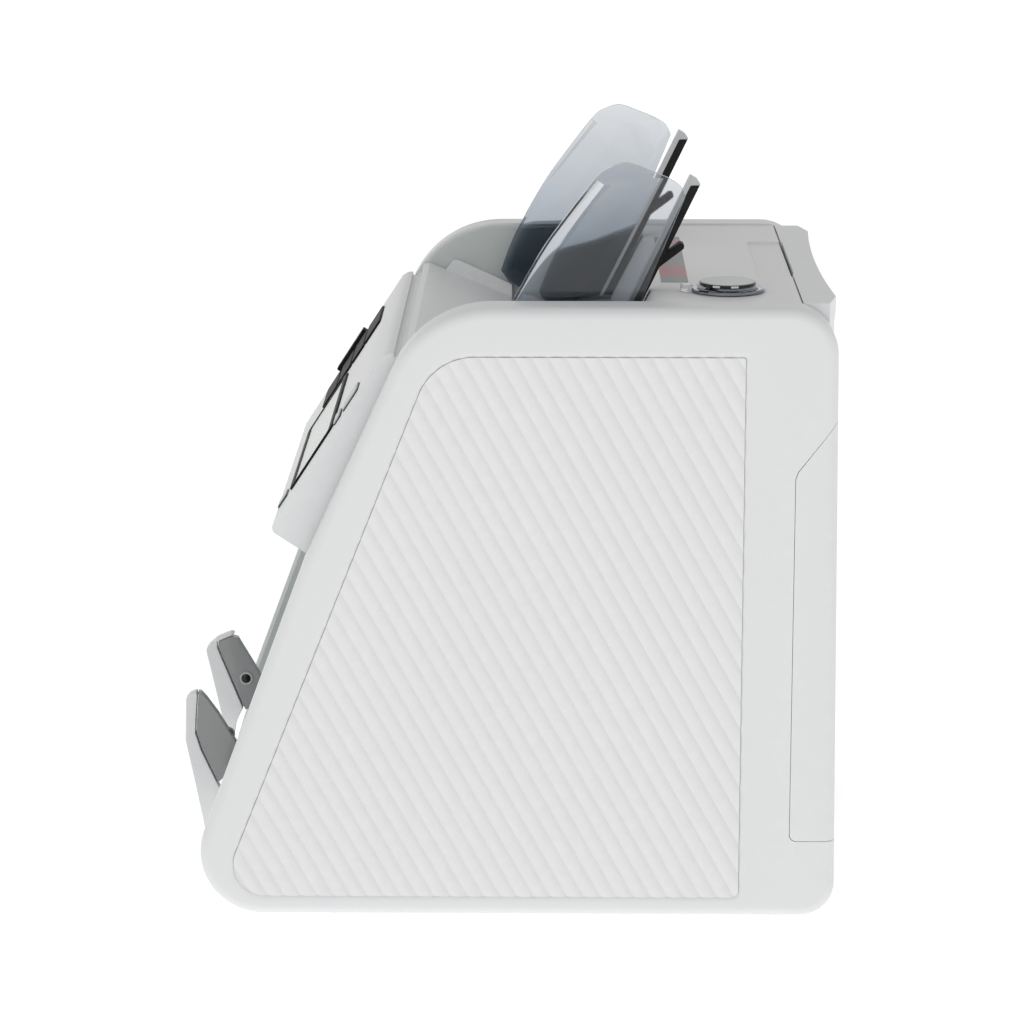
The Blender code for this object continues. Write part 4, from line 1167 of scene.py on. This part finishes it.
def electronics():
    low, high = reach("main_board")
    board = box_between("control_board", low, high)
    holes = [turned("hole", (x, 0, z), [(low.y - 2, 0), (low.y - 2, 1.7), (high.y + 2, 1.7), (high.y + 2, 0)],
                    24, "Y") for x in (low.x + 5, high.x - 5) for z in (low.z + 5, high.z - 5)]
    place(soften(carve(board, *holes), 0.1), "machine", "circuit_board", "board", "main_board")
    dice = random.Random(7)
    face = high.y
    groups = [("resistors", 90, (0.0026, 0.0009, 0.0013), 0.2, "insulator", 0.4),
              ("small_chips", 22, (0.0062, 0.0016, 0.0048), 0.35, "black", 0.7),
              ("large_chips", 4, (0.016, 0.0022, 0.016), 0.15, "black", 1.0)]
    for name, count, size, spread, look, lift in groups:
        spots = []
        for _ in range(count):
            x = dice.uniform(low.x + 14, high.x - 14)
            spots.append((x, face + lift, dice.uniform(low.z + 10, high.z - 10)))
        parts = CHIPS.run(f"board_{name}", look, spots, Size=size, Spread=spread, Seed=count)
        place(parts, "machine", "black_gloss", look)
    capacitors = ((-66, 78, 6, 13), (-50, 78, 6, 13), (-60, 96, 4, 9), (60, 150, 4, 9))
    for i, (x, z, radius, height) in enumerate(capacitors):
        sleeve = [(face, 0), (face, radius), (face + height - 1, radius), (face + height, radius - 0.8)]
        sleeve += [(face + height - 0.4, radius - 1.4), (face + height - 0.4, 0)]
        can = turned(f"board_capacitor_{i}", (x, 0, z), sleeve, 32, "Y")
        place(can, "machine", "black_gloss", "cap_sleeve")
    for i, x in enumerate((-30, 0, 34)):
        housing = block(f"board_socket_{i}", (x - 11, x + 11), (face, face + 7), (163, 169))
        slot = block("slot", (x - 9.6, x + 9.6), (face + 1.5, face + 9), (164.2, 167.8))
        place(soften(carve(housing, slot), 0.2), "machine", "grey_plastic", "insulator")
    low, high = reach("power_supply")
    supply = box_between("supply_case", low, high)
    slots = [rounded((x - 1.2, x + 1.2), (low.y + 8, high.y - 8), 1.1)
             for x in range(int(low.x) + 12, int(high.x) - 8, 7)]
    vents = [plate_of("vent", slot, high.z - 1, high.z + 2) for slot in slots]
    place(soften(carve(supply, *vents), 0.4), "machine", "sheet_steel", "steel", "power_supply")
    low, high = reach("sensor_bar")
    bar = box_between("sensor_rail", low, high)
    bore = [(low.z - 2, 0), (low.z - 2, 1.8), (low.z + 1.5, 1.8), (low.z + 1.5, 0)]
    wells = [turned("well", (x, (low.y + high.y) / 2, 0), bore, 20, "Z") for x in range(-70, 71, 14)]
    place(soften(carve(bar, *wells), 0.3), "machine", "black_gloss", "black", "sensor_bar")


# ---------------------------------------------------------------- the stacker pocket

def stacker_pocket():
    (y0, z0), (y1, z1) = POCKET_PLATE
    sheet = [(y0, z0), (y0 + 2.6, z0), (y1 + 2.6, z1), (y1, z1)]
    plate = prism("pocket_plate", sheet, (-MID_X, MID_X))
    for side, _ in LABELS:
        carve(plate, block("slot", mirrored((24.5, 35.5), side), (-100, -40), (42, 118)))
    lean = (y1 - y0) / (z1 - z0)
    bead = [(y0 + 0.6, z0 + 1), (y0 + lean * 4 - 0.9, z0 + 4)]
    bead += [(y1 - lean * 4 - 0.9, z1 - 4), (y1 + 0.6, z1 - 1)]
    beads = [prism("bead", bead, (x - 1, x + 1)) for x in (-88, -74, -60, -46, 46, 60, 74, 88, 0, -12, 12)]
    join(plate, *beads)
    place(soften(plate, 0.3), "machine", "grey_plastic", "grey", "stacker_plate")
    toe_y, toe_z, toe_radius = COVER_CORNERS[0]
    floor = arc((toe_y, toe_z), toe_radius - 2.5, 250, 159, 22) + [(-124.5, 42.6), (-92.5, 29.6), (-92.5, 27)]
    floor += [(-122, 38.4)] + arc((toe_y, toe_z), toe_radius - 5, 165, 250, 20)
    place(soften(prism("pocket_floor", floor, (-MID_X, MID_X)), 0.5), "machine", "white_shell", "shell",
          "stacker_floor")


def stacker_arms():
    """Two upright arms at the pocket's mouth: a white front, a smoked glossy side and a round sensor."""
    inset = 0.7
    for label, (x0, x1), outline, pane in ARMS:
        arm = prism(f"arm_front_{label}", outline + ARM_FOOT, (x0, x1))
        place(soften(arm, 0.4, 3), "machine", "white_shell", "shell", f"stacker_arm_{label}")
        window = prism(f"arm_pane_{label}", pane, (x0 + inset, x1 - inset))
        place(soften(window, 0.3, 3), "machine", "smoke_clear", "pane", f"arm_window_{label}")
        side = 1 if label == "right" else -1
        face, z = (x0 + inset, 62.0) if side > 0 else (x1 - inset, 60.5)
        bezel = [(0, 2.2), (0.5, 2.2), (0.7, 2.6), (0.6, 3.0), (0, 3.1)]
        lens = [(0, 0), (0, 2.3), (0.4, 2.1), (0.9, 1.3), (1.1, 0.6), (1.15, 0)]
        for part, profile, look in (("bezel", bezel, "grey"), ("lens", lens, "clear")):
            turned_out = [(-side * along, radius) for along, radius in profile]
            round_piece = turned(f"arm_{part}_{label}", (face, -124, z), turned_out, 40)
            place(round_piece, "machine", "smoke_clear", look)


# ---------------------------------------------------------------- the rear end

def rear_door():
    """The rear door: it wraps round both sides and takes in the rear strip of the top."""
    rounds = [(HALF_WIDTH - COVER_ROUND * (1 - math.sin(turn)), COVER_ROUND * (1 - math.cos(turn)))
              for turn in map(math.radians, range(90, -1, -15))]
    left_half = [(-x, band(COVER_CORNERS, inset)) for x, inset in rounds]
    right_half = [(x, band(COVER_CORNERS, inset)) for x, inset in reversed(rounds)]
    envelope = loft("envelope", left_half + right_half)
    door = prism("rear_door_shell", wing_outline(), (-HALF_WIDTH, HALF_WIDTH))
    carve(door, envelope, operation="INTERSECT")
    front = DECK_REAR + 0.6
    centre = [(front, 60), (137, 60), (139.4, 215), (138.4, 257), (140, 264.5), (139.4, DECK_TOP)]
    centre.append((front, DECK_TOP))
    join(door, prism("door_centre", centre, (-INNER_X + GAP, INNER_X - GAP)))
    low, high = DOOR_BOTTOM + 3.4, 263.5
    wing_room = [(110, low), (rear_face(low) - 3.4, low), (rear_face(210) - 3.4, 212.5), (110, 182)]
    room = [(110, low), (135.6, low), (136, 215), (135.2, high), (110, high)]
    scoop = [(30, 0), (30, 1494), (200, 1497), (257, 1500), (285, 1500), (285, 0)]
    inside = INNER_X - 3.4
    carve(door, prism("wing_room", wing_room, (-HALF_WIDTH + 3.2, HALF_WIDTH - 3.2)),
          prism("door_room", room, (-inside, inside)),
          block("finger_gap", (-57, 32), (120, front + 0.6), (DECK_TOP - 6, DECK_TOP + 4)),
          turned("rear_scoop", (0, 1636.6, 0), scoop, sides=720, axis="Z"))
    for side, label in LABELS:
        corner = [(side * 107.6, 135.2), (side * 107.6, 150), (side * 84, 150), (side * 84, 140.3)]
        carve(door, plate_of(f"{label}_corner", corner, 225, DECK_TOP + 3))
    place(soften(door, 0.4), "rear_door", "white_shell", "shell", "rear_door")


def rear_panel():
    heel_y, heel_z, heel_radius = COVER_CORNERS[1]
    outline = arc((heel_y, heel_z), heel_radius - 1.5, 275, 360, 20)
    outline += [(139.5, 36.8), (122, 36.8), (122, 34.2), (136.5, 34.2)]
    outline += arc((heel_y, heel_z), heel_radius - 4.5, 360, 275, 18)
    panel = prism("rear_lower_panel", outline, (-INNER_X, INNER_X))
    carve(panel, block("inlet_hole", (-84.4, -53.6), (124, 145), (13.6, 33.4)),
          block("switch_hole", (-46.4, -31.6), (124, 145), (14.6, 33.4)))
    place(soften(panel, 0.3), "machine", "grey_plastic", "grey", "rear_panel")
    spots = [(x, 139.3, 26) for x in (-98, 0, 98)]
    screws = SCREWS.run("rear_panel_screws", "steel", spots, Facing=(0.0, 1.0, 0.0))
    place(screws, "machine", "sheet_steel", "steel")


def inlet_and_switch():
    low, high = reach("power_inlet")
    middle_x, middle_z = (low.x + high.x) / 2, (low.z + high.z) / 2
    body = box_between("inlet_body", low, high)
    well = block("well", (low.x + 4, high.x - 4), (125, 142), (17, 30))
    place(soften(carve(body, well), 0.5), "machine", "black_gloss", "black", "power_inlet")
    for i, (across, up) in enumerate(((-7, -1.5), (0, 2.5), (7, -1.5))):
        x, z = middle_x + across, middle_z + up
        pin = block(f"inlet_pin_{i}", (x - 1, x + 1), (124.6, 136.5), (z - 2, z + 2))
        place(soften(pin, 0.5), "machine", "sheet_steel", "brass")
    rocker = [(131, 16), (137.5, 16), (139.4, 16.6), *arc((156.4, 24), 18.2, 201, 159, 10)[1:-1]]
    rocker += [(139.4, 31.4), (137.5, 32), (131, 32)]
    place(soften(prism("rocker_cap", rocker, (-45, -33)), 0.5, 3), "rocker", "black_gloss", "black",
          "power_rocker")


# ---------------------------------------------------------------- the knob

def knob():
    """The gap knob: a plated ring, a smoky skirt, a flat cap and a clear pointer in front."""
    x, y = KNOB_AT
    ring = [(267.5, 7), (267.5, 15.4), (267.8, 15.8), (268.5, 15.8), (268.9, 15.3), (268.9, 13.6)]
    ring += [(268.6, 12.6), (268.6, 7)]
    place(turned("knob_base", (x, y, 0), ring, 96, "Z"), "machine", "knob_chrome", "chrome", "knob_ring")
    skirt = [(240, 0), (240, 4.4), (240.5, 4.8), (268.9, 4.8), (268.9, 12.6), (269.2, 13.0)]
    skirt += [(270.1, 11.8), (270.1, 0)]
    place(turned("knob_skirt", (x, y, 0), skirt, 96, "Z"), "gap_knob", "black_gloss", "chrome", "knob_cap")
    side_band = [(270.0, 0), (270.0, 11.8), (270.2, 12), (271.1, 12), (271.3, 11.8), (271.3, 0)]
    place(turned("knob_band", (x, y, 0), side_band, 96, "Z"), "gap_knob", "black_gloss", "gloss")
    top = [(271.2, 0), (271.2, 11.5), (271.45, 11.55), (271.6, 11.4), (271.6, 0)]
    place(turned("knob_top", (x, y, 0), top, 96, "Z"), "gap_knob", "grey_plastic", "silver_top")
    for i, angle in enumerate((-26, 12)):
        turn = math.radians(angle)
        mark = block(f"knob_mark_{i}", (11.4, 12.1), (-1.6, 1.6), (270.25, 271.1))
        mark.data.transform(Matrix.Translation((x * MM, y * MM, 0)) @ Matrix.Rotation(turn, 4, "Z"))
        place(soften(mark, 0.05), "gap_knob", "white_shell", "shell")
    lug = [(x + px, y + py) for px, py in rounded((-3.4, 3.4), (-20.0, -14.6), 2.2)]
    pointer = plate_of("knob_pointer", lug, 267.3, 270.2)
    place(soften(pointer, 0.7, 3), "machine", "smoke_clear", "clear")


# ---------------------------------------------------------------- stage, lights and camera

def stage():
    bm = bmesh.new()
    bmesh.ops.create_grid(bm, x_segments=1, y_segments=1, size=12.0)
    mesh = bpy.data.meshes.new("studio_floor")
    bm.to_mesh(mesh)
    bm.free()
    floor = bpy.data.objects.new("studio_floor", mesh)
    bpy.context.scene.collection.objects.link(floor)
    made, _, shader = new_material("studio_white")
    shader["Base Color"].default_value = (0.86, 0.86, 0.86, 1)
    shader["Roughness"].default_value = 0.9
    shader["Specular IOR Level"].default_value = 0.1
    shader["Emission Color"].default_value = (1, 1, 1, 1)
    shader["Emission Strength"].default_value = 0.56
    mesh.materials.append(made)


def soft_light(name, at, size, power, target=(0, 0, 0.15)):
    lamp = bpy.data.lights.new(name, "AREA")
    lamp.shape = "RECTANGLE"
    lamp.size, lamp.size_y = size
    lamp.energy = power
    made = bpy.data.objects.new(name, lamp)
    made.location = at
    made.rotation_euler = (Vector(target) - Vector(at)).to_track_quat("-Z", "Y").to_euler()
    bpy.context.scene.collection.objects.link(made)


def lights():
    """A room of soft white light, brighter round the sides than overhead, with one large lamp in front."""
    world = bpy.data.worlds.new("studio_air")
    world.use_nodes = True
    w = Wiring(world.node_tree)
    up = w.parts(w.add("ShaderNodeTexCoord").outputs["Generated"])["Z"]
    air = world.node_tree.nodes["Background"].inputs
    air["Color"].default_value = (1, 1, 1, 1)
    w.join(w.span(up, 0.0, 0.9, 0.9, 0.46), air["Strength"])
    bpy.context.scene.world = world
    soft_light("key_light", (2.2, -1.3, 1.6), (1.6, 1.2), 6.0)
    bpy.context.scene.view_settings.view_transform = "Standard"


def camera():
    tilt, turn = math.radians(CAMERA_TILT), math.radians(CAMERA_TURN)
    lens = bpy.data.cameras.new("view")
    lens.lens = CAMERA_LENS
    lens.sensor_width = 36.0
    lens.clip_end = 60.0
    made = bpy.data.objects.new("view", lens)
    made.location = CAMERA_AT
    away = Vector((-math.cos(tilt) * math.cos(turn), -math.cos(tilt) * math.sin(turn), -math.sin(tilt)))
    made.rotation_euler = away.to_track_quat("-Z", "Y").to_euler()
    bpy.context.scene.collection.objects.link(made)
    bpy.context.scene.camera = made


camera()
lights()
stage()
for side, label in LABELS:
    side_cover(side, label)
    ribbed_inlay(side, label)
    liner(side, label)
    chassis_plate(side, label)
base_and_feet()
deck()
hopper_mouth()
feed_bed()
control_head()
keys()
display()
guides()
note_rests()
transport()
motor()
belts()
electronics()
stacker_pocket()
stacker_arms()
rear_door()
rear_panel()
inlet_and_switch()
knob()
